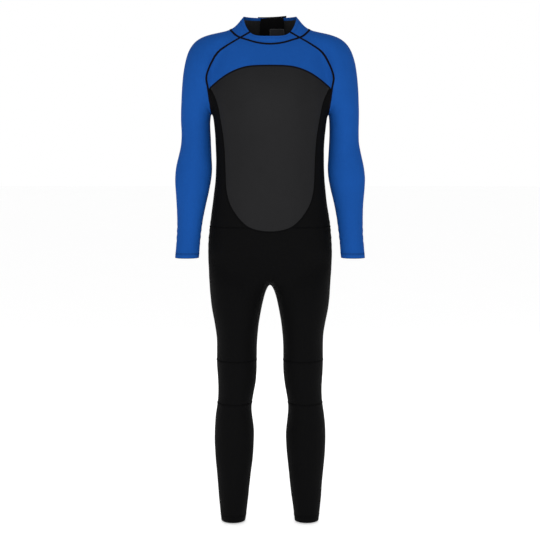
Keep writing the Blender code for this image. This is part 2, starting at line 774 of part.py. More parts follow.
def slider_shapes():
    """The slider's two plates, the post between them and the bail that holds the puller."""
    half = SLIDER_WIDTH / 2.0
    back = -FOAM - TAPE_CLEARANCE - TAPE_THICKNESS - RUNNING_GAP
    front = slider_face() - SLIDER_PLATE
    overlap = SLIDER_PLATE / 2.0
    bail_low = -BAIL_DROP
    bail_high = bail_low + BAIL_LENGTH
    bail_half = BAIL_WIDTH / 2.0
    bridge_half = 1.1 * bail_half
    face = slider_face()
    legs = (face - overlap, face + BAIL_SLOT + BAIL_WIRE / 2.0)
    return (
        box((-half, half), (front, face), (-SLIDER_LENGTH, 0.0)),
        box((-half, half), (back - SLIDER_PLATE, back), (-SLIDER_LENGTH, 0.0)),
        box((-POST_WIDTH / 2.0, POST_WIDTH / 2.0), (back - overlap, front + overlap),
            (-SLIDER_PLATE - POST_LENGTH, -SLIDER_PLATE)),
        box((-bail_half, bail_half), legs, (bail_low, bail_low + BAIL_WIRE)),
        box((-bail_half, bail_half), legs, (bail_high - BAIL_WIRE, bail_high)),
        box((-bridge_half, bridge_half), (face + BAIL_SLOT, face + BAIL_SLOT + BAIL_WIRE),
            (bail_low - BAIL_WIRE / 4.0, bail_high + BAIL_WIRE / 4.0)),
    )


def slider_face():
    """Depth of the slider's outer face, from the back's surface."""
    teeth_top = -FOAM - TAPE_CLEARANCE + PANEL_GAP + TOOTH_DEPTH
    return teeth_top + RUNNING_GAP + SLIDER_PLATE


def puller_pivot():
    """Place of the puller's bar under the bail, from the top middle of the slider."""
    return Vector((0.0, slider_face() + BAIL_SLOT / 2.0, -PULLER_DROP))


def puller_shapes():
    """The puller plate and, second, the window that fits around the bail."""
    half = PULLER_THICKNESS / 2.0
    plate = box((-PULLER_WIDTH / 2.0, PULLER_WIDTH / 2.0), (-half, half), (-PULLER_LENGTH, half))
    corners = [e for e in plate.edges if abs(e.verts[0].co.y - e.verts[1].co.y) > half
               and e.verts[0].co.z < -half]
    bmesh.ops.bevel(plate, geom=corners, offset=PULLER_WIDTH / 3.0, segments=3, affect="EDGES")
    window = box((-PULLER_WINDOW / 2.0, PULLER_WINDOW / 2.0), (-2.0 * half, 2.0 * half), (-PULLER_REACH, -half))
    return plate, window


def neck_tab(surface):
    """The closing tab: a strip of the collar's outside, lifted off it and raised above its edge."""
    lift = 2.0 * SEAM_LIFT + PATCH_THICKNESS + TAB_GAP
    tab = strip(
        surface,
        ((across, TAB_LEFT, back_area), (across, TAB_RIGHT, back_area), (height, TAB_BOTTOM, back_area)),
        lambda centre, level: centre.y > 0.0 and level[0] < 0.0 < level[1] and level[2] > 0.0,
        lift + TAB_THICKNESS, lift)
    collar_top = max(vert.co.z for vert in surface.verts)
    stretch = (TAB_TOP - TAB_BOTTOM) / (collar_top - TAB_BOTTOM)
    for vert in tab.verts:
        vert.co.z = TAB_BOTTOM + (vert.co.z - TAB_BOTTOM) * stretch
    return tab


def make_material(name, colour, roughness, metallic=0.0):
    material = bpy.data.materials.new(name)
    material.use_nodes = True
    shader = material.node_tree.nodes["Principled BSDF"]
    shader.inputs["Base Color"].default_value = (*colour, 1.0)
    shader.inputs["Roughness"].default_value = roughness
    shader.inputs["Metallic"].default_value = metallic
    material.diffuse_color = (*colour, 1.0)
    return material


def finish_of(name):
    """Colour, roughness and metallic value of a piece, from its name."""
    blue = ("front_yoke", "back_yoke", "collar_front", "collar_left", "collar_right",
            "sleeve_cap", "shoulder_band", "upper_sleeve", "elbow_band", "lower_sleeve", "wrist_hem")
    if name.startswith(blue):
        return BLUE, 0.75, 0.0
    if name == "chest_panel":
        return CHARCOAL, 0.45, 0.0
    if "seam" in name:
        return SEAM_BLACK, 0.60, 0.0
    if name == "neck_label":
        return LABEL_GREY, 0.70, 0.0
    if name in ("slider", "puller") or "stop" in name:
        return BLACK, 0.30, 0.6
    return BLACK, 0.80, 0.0


class Assembly:
    """The suit's collections, its joints' empties and its pieces."""

    def __init__(self):
        self.parts = bpy.data.collections.new("wetsuit")
        self.cutters = bpy.data.collections.new("cutters")
        bpy.context.scene.collection.children.link(self.parts)
        bpy.context.scene.collection.children.link(self.cutters)
        self.anchors = {}
        self.places = {}

    def anchor(self, name, position, parent=None, lean=0.0):
        """An empty on a joint's axis; positions are measured from the ankle edge."""
        empty = bpy.data.objects.new(name + "_anchor", None)
        empty.empty_display_size = 0.02
        self.parts.objects.link(empty)
        base = self.places[parent] if parent else Matrix.Translation((0.0, 0.0, HANG_HEIGHT))
        place = Matrix.Translation(position) @ Matrix.Rotation(-lean, 4, "X")
        if parent:
            empty.parent = self.anchors[parent]
        empty.matrix_basis = base.inverted() @ place
        self.anchors[name] = empty
        self.places[name] = place

    def piece(self, name, bm, anchor, local=False):
        """Add a solid; unless it is drawn in its anchor's own frame, it is moved there."""
        mesh = bpy.data.meshes.new(name)
        if not local:
            bm.transform(self.places[anchor].inverted())
        bm.to_mesh(mesh)
        bm.free()
        obj = bpy.data.objects.new(name, mesh)
        colour, roughness, metallic = finish_of(name)
        mesh.materials.append(make_material(name, colour, roughness, metallic))
        obj.parent = self.anchors[anchor]
        self.parts.objects.link(obj)
        return obj

    def combine(self, obj, shapes, operation):
        """Join shapes to a piece, or cut them out of it."""
        for number, bm in enumerate(shapes):
            mesh = bpy.data.meshes.new(obj.name + "_shape")
            bm.to_mesh(mesh)
            bm.free()
            shape = bpy.data.objects.new(f"{obj.name}_shape_{number}", mesh)
            shape.parent = obj.parent
            shape.hide_render = True
            shape.display_type = "WIRE"
            self.cutters.objects.link(shape)
            modifier = obj.modifiers.new(f"{operation.lower()}_{number}", "BOOLEAN")
            modifier.operation = operation
            modifier.solver = "EXACT"
            modifier.object = shape


def side_anchors(suit, side, sign):
    """The joint axes of one arm and one leg."""
    mirror = Matrix.Diagonal((sign, 1.0, 1.0))
    suit.anchor("upper_arm_" + side, mirror @ graded(*SHOULDER_PIVOT), "suit")
    suit.anchor("forearm_" + side, mirror @ graded(*ELBOW_PIVOT), "upper_arm_" + side)
    suit.anchor("thigh_" + side, mirror @ graded(*HIP_PIVOT), "suit")
    suit.anchor("shin_" + side, mirror @ graded(*KNEE_PIVOT), "thigh_" + side)


def body_of(name):
    """The body that a panel moves with."""
    for side in ("left", "right"):
        if name in ("upper_sleeve_" + side, "elbow_band_" + side):
            return "upper_arm_" + side
        if name in ("lower_sleeve_" + side, "wrist_hem_" + side):
            return "forearm_" + side
        if name in ("thigh_" + side, "knee_panel_" + side):
            return "thigh_" + side
        if name in ("shin_" + side, "ankle_hem_" + side):
            return "shin_" + side
    return "suit"


def add_zip(suit, lean, depth):
    """The zip down the straight middle of the back, with its slider parked at the top."""
    angle = math.atan(lean)
    foot = Vector((0.0, depth + lean * WAIST_HEIGHT, WAIST_HEIGHT))
    length = (ZIP_TOP - WAIST_HEIGHT) / math.cos(angle)
    suit.anchor("zip", foot, "suit", angle)
    tape_face = -FOAM - TAPE_CLEARANCE
    tape = (tape_face - TAPE_THICKNESS, tape_face)
    teeth_end = length - SLIDER_PLATE - POST_LENGTH - RUNNING_GAP
    teeth_start = 2.0 * RUNNING_GAP + STOP_LENGTH
    stop_depth = (tape_face + PANEL_GAP, tape_face + PANEL_GAP + TOOTH_DEPTH)
    for side, sign in (("left", 1.0), ("right", -1.0)):
        span = sorted((sign * TAPE_EDGE, sign * (TAPE_EDGE + TAPE_WIDTH)))
        suit.piece("zip_tape_" + side, box(span, tape, (RUNNING_GAP, length + TAPE_OVERRUN)), "zip", True)
        row = tooth_row(sign, teeth_end - teeth_start)
        bmesh.ops.translate(row, verts=row.verts, vec=(0.0, 0.0, teeth_start))
        suit.piece("zip_teeth_" + side, row, "zip", True)
        stop_span = sorted((sign * TAPE_EDGE, sign * STOP_HALF_WIDTH))
        suit.piece("zip_top_stop_" + side,
                   box(stop_span, stop_depth, (length + RUNNING_GAP, length + RUNNING_GAP + STOP_LENGTH)),
                   "zip", True)
    suit.piece("zip_bottom_stop",
               box((-STOP_HALF_WIDTH, STOP_HALF_WIDTH), stop_depth, (RUNNING_GAP, RUNNING_GAP + STOP_LENGTH)),
               "zip", True)
    top = suit.places["zip"] @ Vector((0.0, 0.0, length))
    suit.anchor("slider", top, "suit", angle)
    shapes = slider_shapes()
    slider = suit.piece("slider", shapes[0], "slider", True)
    suit.combine(slider, shapes[1:], "UNION")
    suit.anchor("puller", suit.places["slider"] @ puller_pivot(), "slider", angle)
    plate, window = puller_shapes()
    puller = suit.piece("puller", plate, "puller", True)
    suit.combine(puller, [window], "DIFFERENCE")


def tab_hinge(tab):
    """The upright line that the neck tab turns about: the middle of its left edge."""
    edge = [vert.co for vert in tab.verts if vert.co.x > TAB_LEFT - 0.0015]
    return sum(edge, Vector()) / len(edge)


def shade(obj):
    """Shade the soft pieces smooth, with their cut edges kept sharp."""
    obj.data.shade_smooth()
    obj.data.set_sharp_from_angle(angle=math.radians(40.0))


def build_wetsuit():
    for obj in list(bpy.data.objects):
        bpy.data.objects.remove(obj)
    suit = Assembly()
    suit.anchor("suit", Vector((0.0, 0.0, HANG_HEIGHT)))
    for side, sign in (("left", 1.0), ("right", -1.0)):
        side_anchors(suit, side, sign)
    surface = bmesh.new()
    smooth = smooth_body(1)
    surface.from_mesh(smooth)
    bpy.data.meshes.remove(smooth)
    pattern = Pattern()
    lean, depth = spine_line(surface)
    for name, piece in cut_body(surface, pattern).items():
        shade(suit.piece(name, piece, body_of(name)))
    for name, piece in inner_strips(surface, pattern).items():
        shade(suit.piece(name, piece, "suit"))
    add_zip(suit, lean, depth)
    tab = neck_tab(surface)
    suit.anchor("neck_tab", tab_hinge(tab), "suit")
    shade(suit.piece("neck_tab", tab, "neck_tab"))
    surface.free()


build_wetsuit()
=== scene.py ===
"""Looks of the full-length wetsuit: jersey and smooth-skin panels, flatlock seams, zip and neck tab.

Metres, +Z up, the front faces -Y and the wearer's left is +X. Heights in the pattern tables are
measured from the ankle edge; HANG_HEIGHT above it is the origin, in the neck opening.
"""
import math

import bmesh
import bpy
import numpy as np
from mathutils import Matrix, Vector, noise


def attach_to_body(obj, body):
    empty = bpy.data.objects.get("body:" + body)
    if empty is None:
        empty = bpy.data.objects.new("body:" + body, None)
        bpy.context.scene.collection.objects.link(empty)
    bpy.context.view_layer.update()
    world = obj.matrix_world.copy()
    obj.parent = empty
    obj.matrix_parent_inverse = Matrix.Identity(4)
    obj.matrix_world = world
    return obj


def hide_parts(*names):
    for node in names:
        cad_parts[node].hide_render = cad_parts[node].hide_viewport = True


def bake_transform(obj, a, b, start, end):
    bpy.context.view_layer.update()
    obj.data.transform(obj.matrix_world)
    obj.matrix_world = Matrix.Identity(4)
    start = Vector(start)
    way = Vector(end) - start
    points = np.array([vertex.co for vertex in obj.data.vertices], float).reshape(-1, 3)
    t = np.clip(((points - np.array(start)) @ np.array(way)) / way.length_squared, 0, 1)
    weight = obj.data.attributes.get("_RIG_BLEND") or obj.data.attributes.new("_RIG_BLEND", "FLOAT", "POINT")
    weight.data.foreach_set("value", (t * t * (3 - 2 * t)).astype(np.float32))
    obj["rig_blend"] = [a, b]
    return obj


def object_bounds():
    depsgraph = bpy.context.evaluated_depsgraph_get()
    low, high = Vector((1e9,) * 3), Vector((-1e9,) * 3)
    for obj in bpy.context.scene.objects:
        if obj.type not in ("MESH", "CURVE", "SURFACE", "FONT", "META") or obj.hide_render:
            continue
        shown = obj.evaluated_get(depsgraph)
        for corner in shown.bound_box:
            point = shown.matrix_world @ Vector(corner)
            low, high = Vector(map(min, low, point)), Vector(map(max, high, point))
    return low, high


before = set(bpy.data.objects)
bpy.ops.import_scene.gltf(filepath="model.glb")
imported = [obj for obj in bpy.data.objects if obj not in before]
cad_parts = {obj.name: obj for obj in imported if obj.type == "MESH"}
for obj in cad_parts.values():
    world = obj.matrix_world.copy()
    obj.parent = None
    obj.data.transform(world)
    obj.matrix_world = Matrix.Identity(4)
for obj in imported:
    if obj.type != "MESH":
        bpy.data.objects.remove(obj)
cad_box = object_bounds()

# The share of the backdrop's brightness that falls on the suit.
ROOM_LIGHT = 0.55

HANG_HEIGHT = 1.46
DROP = Matrix.Translation((0.0, 0.0, -HANG_HEIGHT))
SIDES = (("left", 1.0), ("right", -1.0))

FOAM = 0.003
HEM_ROUNDING = 0.0010
SEAM_WIDTH = 0.0062
CHEST_SEAM_WIDTH = 0.0046
QUIET_SEAM_WIDTH = 0.0044
SEAM_RELIEF = 0.0009
STITCH_PITCH = 0.0026
SEAM_STEP = 0.0009
THREAD = 0.00042
COVER_PITCH = 0.0032

ZIP_SLOT = 0.009
HEM_HEIGHT = 0.013
ANKLE_HEM_HEIGHT = 0.018
WAIST_HEIGHT = 0.885
BACK_YOKE_HEIGHT = 1.315
NECK_FLOOR = 1.38
NECK_TURN = 0.012
NECK_REACH = 0.135
SHOULDER_LINE = 0.004
WRIST_HEIGHT = 0.794
ANKLE_HEIGHT = 0.0
ELBOW_TOP = 1.100
ELBOW_BOTTOM = 1.020
KNEE_TOP = 0.490
KNEE_BOTTOM = 0.360
SHOULDER_START = 0.012
SHOULDER_END = 0.052
SHOULDER_LEAN = math.radians(60.0)
HIP_START = 0.012
HIP_END = 0.107
HIP_LEAN = math.radians(30.0)
ARMPIT = Vector((0.170, 0.0, 1.210))
CROTCH = Vector((0.0, 0.012, 0.712))

# A corner of the surface this close to a seam line counts as lying on it.
ON_LINE = 0.00015
# The collar's blue cloth folds over its top edge and ends this many mesh rows down the inside.
COLLAR_TURN = 4.0
COLLAR_STITCH_ROW = 4

# Torso rings from the crotch up:
# height at front, side and back, half width, front depth, back depth, squareness.
TORSO = (
    (0.740, 0.792, 0.735, 0.183, 0.076, 0.086, 2.2),
    (0.800, 0.830, 0.805, 0.182, 0.092, 0.112, 2.3),
    (0.880, 0.890, 0.880, 0.177, 0.098, 0.0900, 2.3),
    (0.948, 0.948, 0.948, 0.167, 0.098, 0.0935, 2.4),
    (1.030, 1.030, 1.030, 0.1575, 0.098, 0.0950, 2.4),
    (1.120, 1.120, 1.120, 0.1560, 0.108, 0.0965, 2.4),
    (1.205, 1.215, 1.205, 0.166, 0.118, 0.0980, 2.4),
    (1.270, 1.270, 1.270, 0.176, 0.117, 0.0990, 2.4),
    (1.340, 1.345, 1.340, 0.174, 0.100, 0.0995, 2.4),
    (1.394, 1.434, 1.415, 0.148, 0.076, 0.1035, 2.2),
    (1.4135, 1.453, 1.456, 0.1150, 0.0640, 0.0850, 2.0),
    (1.4220, 1.476, 1.475, 0.0930, 0.0610, 0.0770, 2.0),
    (1.4345, 1.496, 1.496, 0.0775, 0.0590, 0.0710, 2.0),
)
# How squarely the front of each of the last torso rings dips: 2 is a plain slope, more is a wide scoop.
NECK_SCOOP = (2.0, 3.0, 4.5, 7.0)
TORSO_COLUMNS = 16
ARMHOLE_RINGS = (6, 10)

# Sleeve rings from the shoulder down: inner x, inner z, outer x, outer z, middle y, half depth.
SLEEVE = (
    (0.1722, 1.212, 0.193, 1.443, 0.004, 0.080),
    (0.1735, 1.200, 0.238, 1.409, 0.004, 0.070),
    (0.1745, 1.178, 0.2565, 1.322, 0.005, 0.060),
    (0.1733, 1.132, 0.2620, 1.200, 0.006, 0.054),
    (0.1713, 1.085, 0.2553, 1.125, 0.005, 0.049),
    (0.1670, 1.035, 0.2842, 1.045, -0.002, 0.0475),
    (0.1890, 0.950, 0.2722, 0.950, -0.010, 0.0440),
    (0.2020, 0.875, 0.2710, 0.875, -0.020, 0.0375),
    (0.2080, 0.794, 0.2780, 0.794, -0.029, 0.0320),
)

# Leg rings from the crotch down, in the same order.
LEG = (
    (0.0150, 0.690, 0.1790, 0.728, 0.004, 0.097),
    (0.0270, 0.640, 0.1765, 0.655, 0.000, 0.091),
    (0.0400, 0.555, 0.1535, 0.560, -0.004, 0.080),
    (0.0378, 0.475, 0.1598, 0.480, -0.005, 0.069),
    (0.0435, 0.405, 0.1515, 0.405, -0.003, 0.061),
    (0.0595, 0.348, 0.1575, 0.348, 0.004, 0.060),
    (0.0450, 0.278, 0.1682, 0.278, 0.014, 0.062),
    (0.0500, 0.200, 0.1650, 0.200, 0.014, 0.056),
    (0.0740, 0.000, 0.1460, 0.000, 0.006, 0.039),
)

# Seam lines on the pattern, as points that a smooth curve runs through.
RAGLAN_FRONT = ((0.030, 1.464), (0.056, 1.448), (0.0895, 1.4285), (0.128, 1.4055), (0.147, 1.3915), (0.160, 1.3745),
                (0.1755, 1.342), (0.1825, 1.314), (0.178, 1.285), (0.1715, 1.235), (0.1690, 1.210), (0.1655, 1.180),
                (0.1640, 1.100), (0.1650, 1.020), (0.180, 0.900), (0.193, 0.800), (0.200, 0.700))
RAGLAN_BACK = ((0.040, 1.500), (0.065, 1.478), (0.095, 1.452), (0.140, 1.408), (0.170, 1.355), (0.179, 1.310),
               (0.1765, 1.270), (0.1715, 1.235), (0.1690, 1.210), (0.1655, 1.180), (0.1640, 1.100), (0.1650, 1.020),
               (0.180, 0.900), (0.193, 0.800), (0.200, 0.700))
NECK_FRONT = ((-0.034, 1.4150), (0.0, 1.4115), (0.034, 1.4150), (0.0665, 1.4245), (0.0935, 1.4350), (0.1125, 1.4525),
              (0.125, 1.470))
NECK_BACK = ((-0.030, 1.4580), (0.0, 1.4580), (0.060, 1.4580), (0.1155, 1.4585), (0.150, 1.4590))
CHEST_TOP = ((-0.045, 1.3475), (0.0, 1.3485), (0.045, 1.3475), (0.078, 1.3425), (0.113, 1.329), (0.145, 1.309),
             (0.171, 1.2875), (0.192, 1.268))
CHEST_SIDE = ((0.198, 1.335), (0.175, 1.290), (0.1540, 1.245), (0.1420, 1.187), (0.1350, 1.140), (0.1315, 1.093),
              (0.1300, 1.047), (0.1280, 1.000), (0.1238, 0.975), (0.1170, 0.953), (0.1045, 0.930), (0.0864, 0.9065),
              (0.0640, 0.8875), (0.035, 0.8770), (0.0, 0.8735), (-0.035, 0.8770))
BACK_SIDE = ((0.168, 1.400), (0.150, 1.300), (0.138, 1.200), (0.124, 1.080), (0.120, 0.980), (0.130, 0.840))


# ---------------------------------------------------------------- camera, lights and floor

CAMERA_PLACE = (0.0, -4.0, -0.323)
CAMERA_TARGET = (0.0, 0.0, -0.7046)
CAMERA_LENS = 90.7
CAMERA_SENSOR = 36.0
LIGHT_TARGET = (0.0, 0.0, -0.55)
SOFTBOXES = (  # name, place, width, height, watts
    ("front_softbox", (0.0, -3.4, 0.5), 2.2, 2.2, 50.0),
    ("left_softbox", (2.8, -1.6, 0.4), 1.2, 2.4, 7.0),
    ("right_softbox", (-2.8, -1.6, 0.4), 1.2, 2.4, 7.0),
    ("back_softbox", (0.0, 3.2, 0.8), 2.4, 2.0, 36.0),
)
FLOOR_HALF_WIDTH = 30.0
FLOOR_GAP = 0.004
FLOOR_GLOW = 0.47

def aim(obj, place, target):
    obj.location = place
    obj.rotation_euler = (Vector(target) - Vector(place)).to_track_quat("-Z", "Y").to_euler()


def add_camera():
    data = bpy.data.cameras.new("camera")
    data.lens = CAMERA_LENS
    data.sensor_width = CAMERA_SENSOR
    camera = bpy.data.objects.new("camera", data)
    bpy.context.scene.collection.objects.link(camera)
    aim(camera, CAMERA_PLACE, CAMERA_TARGET)
    bpy.context.scene.camera = camera
    bpy.context.scene.view_settings.view_transform = "Standard"


def add_light(name, place, target, width, height, watts):
    data = bpy.data.lights.new(name, "AREA")
    data.shape = "RECTANGLE"
    data.size = width
    data.size_y = height
    data.energy = watts
    light = bpy.data.objects.new(name, data)
    bpy.context.scene.collection.objects.link(light)
    aim(light, place, target)


def add_stage(pale):
    """Softboxes round the suit, a white backdrop that lights it less than it shows, and the floor."""
    for name, place, width, rise, watts in SOFTBOXES:
        add_light(name, place, LIGHT_TARGET, width, rise, watts)
    world = bpy.data.worlds.new("studio")
    world.use_nodes = True
    world.node_tree.nodes["Background"].inputs["Color"].default_value = (1.0, 1.0, 1.0, 1.0)
    nodes = world.node_tree.nodes
    backdrop = nodes.new("ShaderNodeMath")
    backdrop.operation = "MULTIPLY_ADD"
    backdrop.inputs[1].default_value = 1.0 - ROOM_LIGHT
    backdrop.inputs[2].default_value = ROOM_LIGHT
    world.node_tree.links.new(nodes.new("ShaderNodeLightPath").outputs["Is Camera Ray"], backdrop.inputs[0])
    world.node_tree.links.new(backdrop.outputs[0], nodes["Background"].inputs["Strength"])
    bpy.context.scene.world = world
    bm = bmesh.new()
    bmesh.ops.create_grid(bm, x_segments=1, y_segments=1, size=FLOOR_HALF_WIDTH)
    bmesh.ops.translate(bm, verts=bm.verts, vec=(0.0, 0.0, cad_box[0].z - FLOOR_GAP))
    mesh = bpy.data.meshes.new("floor")
    bm.to_mesh(mesh)
    bm.free()
    mesh.materials.append(pale)
    floor = bpy.data.objects.new("floor", mesh)
    bpy.context.scene.collection.objects.link(floor)


# ---------------------------------------------------------------- materials

class Wire:
    """A shader value; arithmetic on it adds the Math nodes."""

    def __init__(self, finish, socket):
        self.finish = finish
        self.socket = socket

    def math(self, operation, first, second=0.0):
        return self.finish.node("ShaderNodeMath", {"operation": operation}, {0: first, 1: second})

    def __add__(self, other):
        return self.math("ADD", self, other)

    def __sub__(self, other):
        return self.math("SUBTRACT", self, other)

    def __rsub__(self, other):
        return self.math("SUBTRACT", other, self)

    def __mul__(self, other):
        return self.math("MULTIPLY", self, other)

    __radd__ = __add__
    __rmul__ = __mul__

    def sine(self):
        return self.math("SINE", self)

    def size(self):
        return self.math("ABSOLUTE", self)


def channel(word):
    """The shader socket that a keyword names."""
    return word.replace("_", " ").title().replace("Ior", "IOR")


class Finish:
    """A material in the making."""

    def __init__(self, name, colour, roughness, metallic=0.0, **uniform):
        self.material = bpy.data.materials.new(name)
        self.material.use_nodes = True
        self.material.diffuse_color = (*colour, 1.0)
        self.nodes = self.material.node_tree.nodes
        self.links = self.material.node_tree.links
        self.shader = self.nodes["Principled BSDF"]
        self.colour = colour
        self.put(self.shader, "Base Color", (*colour, 1.0))
        self.put(self.shader, "Roughness", roughness)
        self.put(self.shader, "Metallic", metallic)
        for socket, value in uniform.items():
            self.put(self.shader, channel(socket), value)

    def put(self, node, socket, value):
        if isinstance(value, Wire):
            self.links.new(value.socket, node.inputs[socket])
        else:
            node.inputs[socket].default_value = value

    def node(self, kind, settings=None, sockets=None, output=0):
        made = self.nodes.new(kind)
        for setting, value in (settings or {}).items():
            if setting == "stops":
                for place, (position, shade) in enumerate(value):
                    stops = made.color_ramp.elements
                    stop = stops[place] if place < len(stops) else stops.new(position)
                    stop.position = position
                    stop.color = (shade, shade, shade, 1.0)
            else:
                setattr(made, setting, value)
        for socket, value in (sockets or {}).items():
            self.put(made, socket, value)
        return Wire(self, made.outputs[output])

    def place(self):
        return self.node("ShaderNodeTexCoord", output="Object")

    def cloth(self):
        """The piece's own UV map, which is in metres."""
        return self.node("ShaderNodeUVMap", {"uv_map": "cloth"})

    def parts(self, vector):
        split = self.node("ShaderNodeSeparateXYZ", sockets={0: vector})
        return [Wire(self, split.socket.node.outputs[axis]) for axis in range(3)]

    def mottle(self, scale, detail=3.0, roughness=0.55):
        return self.node("ShaderNodeTexNoise", sockets={
            "Vector": self.place(), "Scale": scale, "Detail": detail, "Roughness": roughness})

    def ramp(self, value, *stops):
        return self.node("ShaderNodeValToRGB", {"stops": stops}, {0: value})

    def mix(self, share, first, second):
        return self.node("ShaderNodeMix", {"data_type": "RGBA"}, {0: share, 6: first, 7: second}, 2)

    def shaded(self, share, dark, light):
        """The finish's colour between two strengths."""
        low = (*(c * dark for c in self.colour), 1.0)
        high = (*(min(c * light, 1.0) for c in self.colour), 1.0)
        return self.mix(share, low, high)

    def emboss(self, height, depth, below=None):
        sockets = {"Height": height, "Distance": depth, "Strength": 1.0}
        if below is not None:
            sockets["Normal"] = below
        return self.node("ShaderNodeBump", sockets=sockets)

    def set(self, **channels):
        for socket, value in channels.items():
            self.put(self.shader, channel(socket), value)
        return self.material


def jersey(name, colour, wale, lift, sheen):
    """Knitted nylon face on foam: loops in wales and courses, soft mottling and a little fuzz."""
    finish = Finish(name, colour, 0.72, sheen_weight=sheen, sheen_roughness=0.45, specular_ior_level=0.035)
    across, up, _ = finish.parts(finish.cloth())
    turn = 2.0 * math.pi / wale
    loops = (across * turn + (up * (turn * 1.35)).sine() * 0.9).sine()
    courses = (up * (turn * 1.35)).sine().size()
    knit = loops * 0.6 + courses * 0.4
    soft = finish.mottle(7.0)
    fuzz = finish.mottle(900.0, 2.0)
    cell = finish.mottle(160.0, 3.0)
    foam = finish.emboss(cell, 0.00022)
    normal = finish.emboss(knit + fuzz * 0.8, lift, foam)
    share = finish.ramp(soft * 0.55 + cell * 0.25 + knit * 0.10 + 0.05, (0.15, 0.0), (0.75, 1.0))
    rough = 0.66 + cell * 0.10 + fuzz * 0.06
    return finish.set(base_color=finish.shaded(share, 0.86, 1.16), roughness=rough, normal=normal)


def smooth_skin(name, colour):
    """Bare foam with a sealed, satin skin and a fine embossed diamond grain."""
    finish = Finish(name, colour, 0.5, specular_ior_level=0.11)
    across, up, _ = finish.parts(finish.cloth())
    turn = 2.0 * math.pi / 0.0030
    grain = (across * turn + up * turn).sine() * (across * turn - up * turn).sine()
    soft = finish.mottle(6.0)
    cell = finish.mottle(240.0, 4.0)
    scuff = finish.node("ShaderNodeTexNoise", sockets={
        "Vector": finish.node("ShaderNodeMapping", sockets={"Vector": finish.place(), "Scale": (60.0, 60.0, 9.0)}),
        "Scale": 1.0, "Detail": 5.0, "Roughness": 0.6})
    foam = finish.emboss(cell, 0.00015)
    normal = finish.emboss(grain, 0.00007, foam)
    share = finish.ramp(soft * 0.6 + scuff * 0.3 + cell * 0.1, (0.3, 0.0), (0.7, 1.0))
    rough = 0.44 + scuff * 0.12 + grain * 0.03
    return finish.set(base_color=finish.shaded(share, 0.88, 1.14), roughness=rough, normal=normal)


def thread(name, colour, pitch, sheen=0.0):
    """Sewing thread: a tight twist along each row."""
    finish = Finish(name, colour, 0.75, sheen_weight=sheen, specular_ior_level=0.04)
    along, around, _ = finish.parts(finish.cloth())
    twist = (along * (2.0 * math.pi / pitch) + around * 12.0).sine()
    fuzz = finish.mottle(1100.0, 2.0)
    share = twist * 0.35 + fuzz * 0.5 + 0.25
    normal = finish.emboss(twist + fuzz, 0.00008)
    return finish.set(base_color=finish.shaded(share, 0.6, 1.6), roughness=0.7 + fuzz * 0.2, normal=normal)


def woven(name, colour, pitch, contrast, depth):
    """A plain weave, as on tapes, labels and linings."""
    finish = Finish(name, colour, 0.7, sheen_weight=0.1, specular_ior_level=0.3)
    across, up, _ = finish.parts(finish.cloth())
    turn = 2.0 * math.pi / pitch
    weave = (across * turn).sine() * (up * turn).sine()
    fuzz = finish.mottle(700.0, 2.0)
    share = weave * 0.3 + fuzz * 0.5 + 0.25
    normal = finish.emboss(weave + fuzz * 0.6, depth)
    colour_link = finish.shaded(share, 1.0 - contrast, 1.0 + contrast)
    return finish.set(base_color=colour_link, roughness=0.62 + fuzz * 0.15, normal=normal)


def pile(name, colour, scale, depth):
    """Hook-and-loop cloth: a dense pile of tiny loops."""
    finish = Finish(name, colour, 0.85, sheen_weight=0.2, specular_ior_level=0.2)
    loops = finish.node("ShaderNodeTexVoronoi", sockets={"Vector": finish.place(), "Scale": scale})
    fuzz = finish.mottle(scale * 1.7, 3.0)
    share = loops * 0.7 + fuzz * 0.4
    normal = finish.emboss(1.0 - loops + fuzz * 0.5, depth)
    return finish.set(base_color=finish.shaded(share, 0.5, 1.9), roughness=0.8 + fuzz * 0.1, normal=normal)


def moulded(name, colour, roughness):
    """Moulded plastic with a fine spark-eroded grain."""
    finish = Finish(name, colour, roughness, specular_ior_level=0.45)
    grain = finish.mottle(1500.0, 3.0)
    haze = finish.mottle(60.0)
    normal = finish.emboss(grain, 0.00003)
    share = haze * 0.6 + grain * 0.4
    return finish.set(base_color=finish.shaded(share, 0.8, 1.3), roughness=roughness + haze * 0.1 - 0.05,
                      normal=normal)


def enamel(name, colour):
    """Black enamel on cast metal, rubbed thin in places."""
    finish = Finish(name, colour, 0.32, specular_ior_level=0.5)
    rub = finish.mottle(420.0, 4.0, 0.7)
    worn = finish.ramp(rub, (0.60, 0.0), (0.72, 1.0))
    bare = (0.16, 0.16, 0.165, 1.0)
    grain = finish.mottle(2200.0)
    colour_link = finish.mix(worn * 0.6, (*colour, 1.0), bare)
    return finish.set(base_color=colour_link, metallic=0.35 + worn * 0.6, roughness=0.28 + grain * 0.16,
                      normal=finish.emboss(rub + grain * 0.5, 0.00003))


def pale_floor():
    finish = Finish("studio_floor", (0.93, 0.93, 0.93), 0.9, specular_ior_level=0.1,
                    emission_color=(1.0, 1.0, 1.0, 1.0), emission_strength=FLOOR_GLOW)
    haze = finish.mottle(1.5)
    return finish.set(base_color=finish.shaded(haze, 0.99, 1.01))


BLUE = (0.0072, 0.0650, 0.2800)
BLUE_THREAD = (0.0100, 0.0550, 0.2300)
BLACK = (0.0025, 0.0025, 0.0027)
CHARCOAL = (0.0080, 0.0080, 0.0088)
SEAM_BLACK = (0.0036, 0.0032, 0.0045)
STITCH_NAVY = (0.0050, 0.0150, 0.0520)


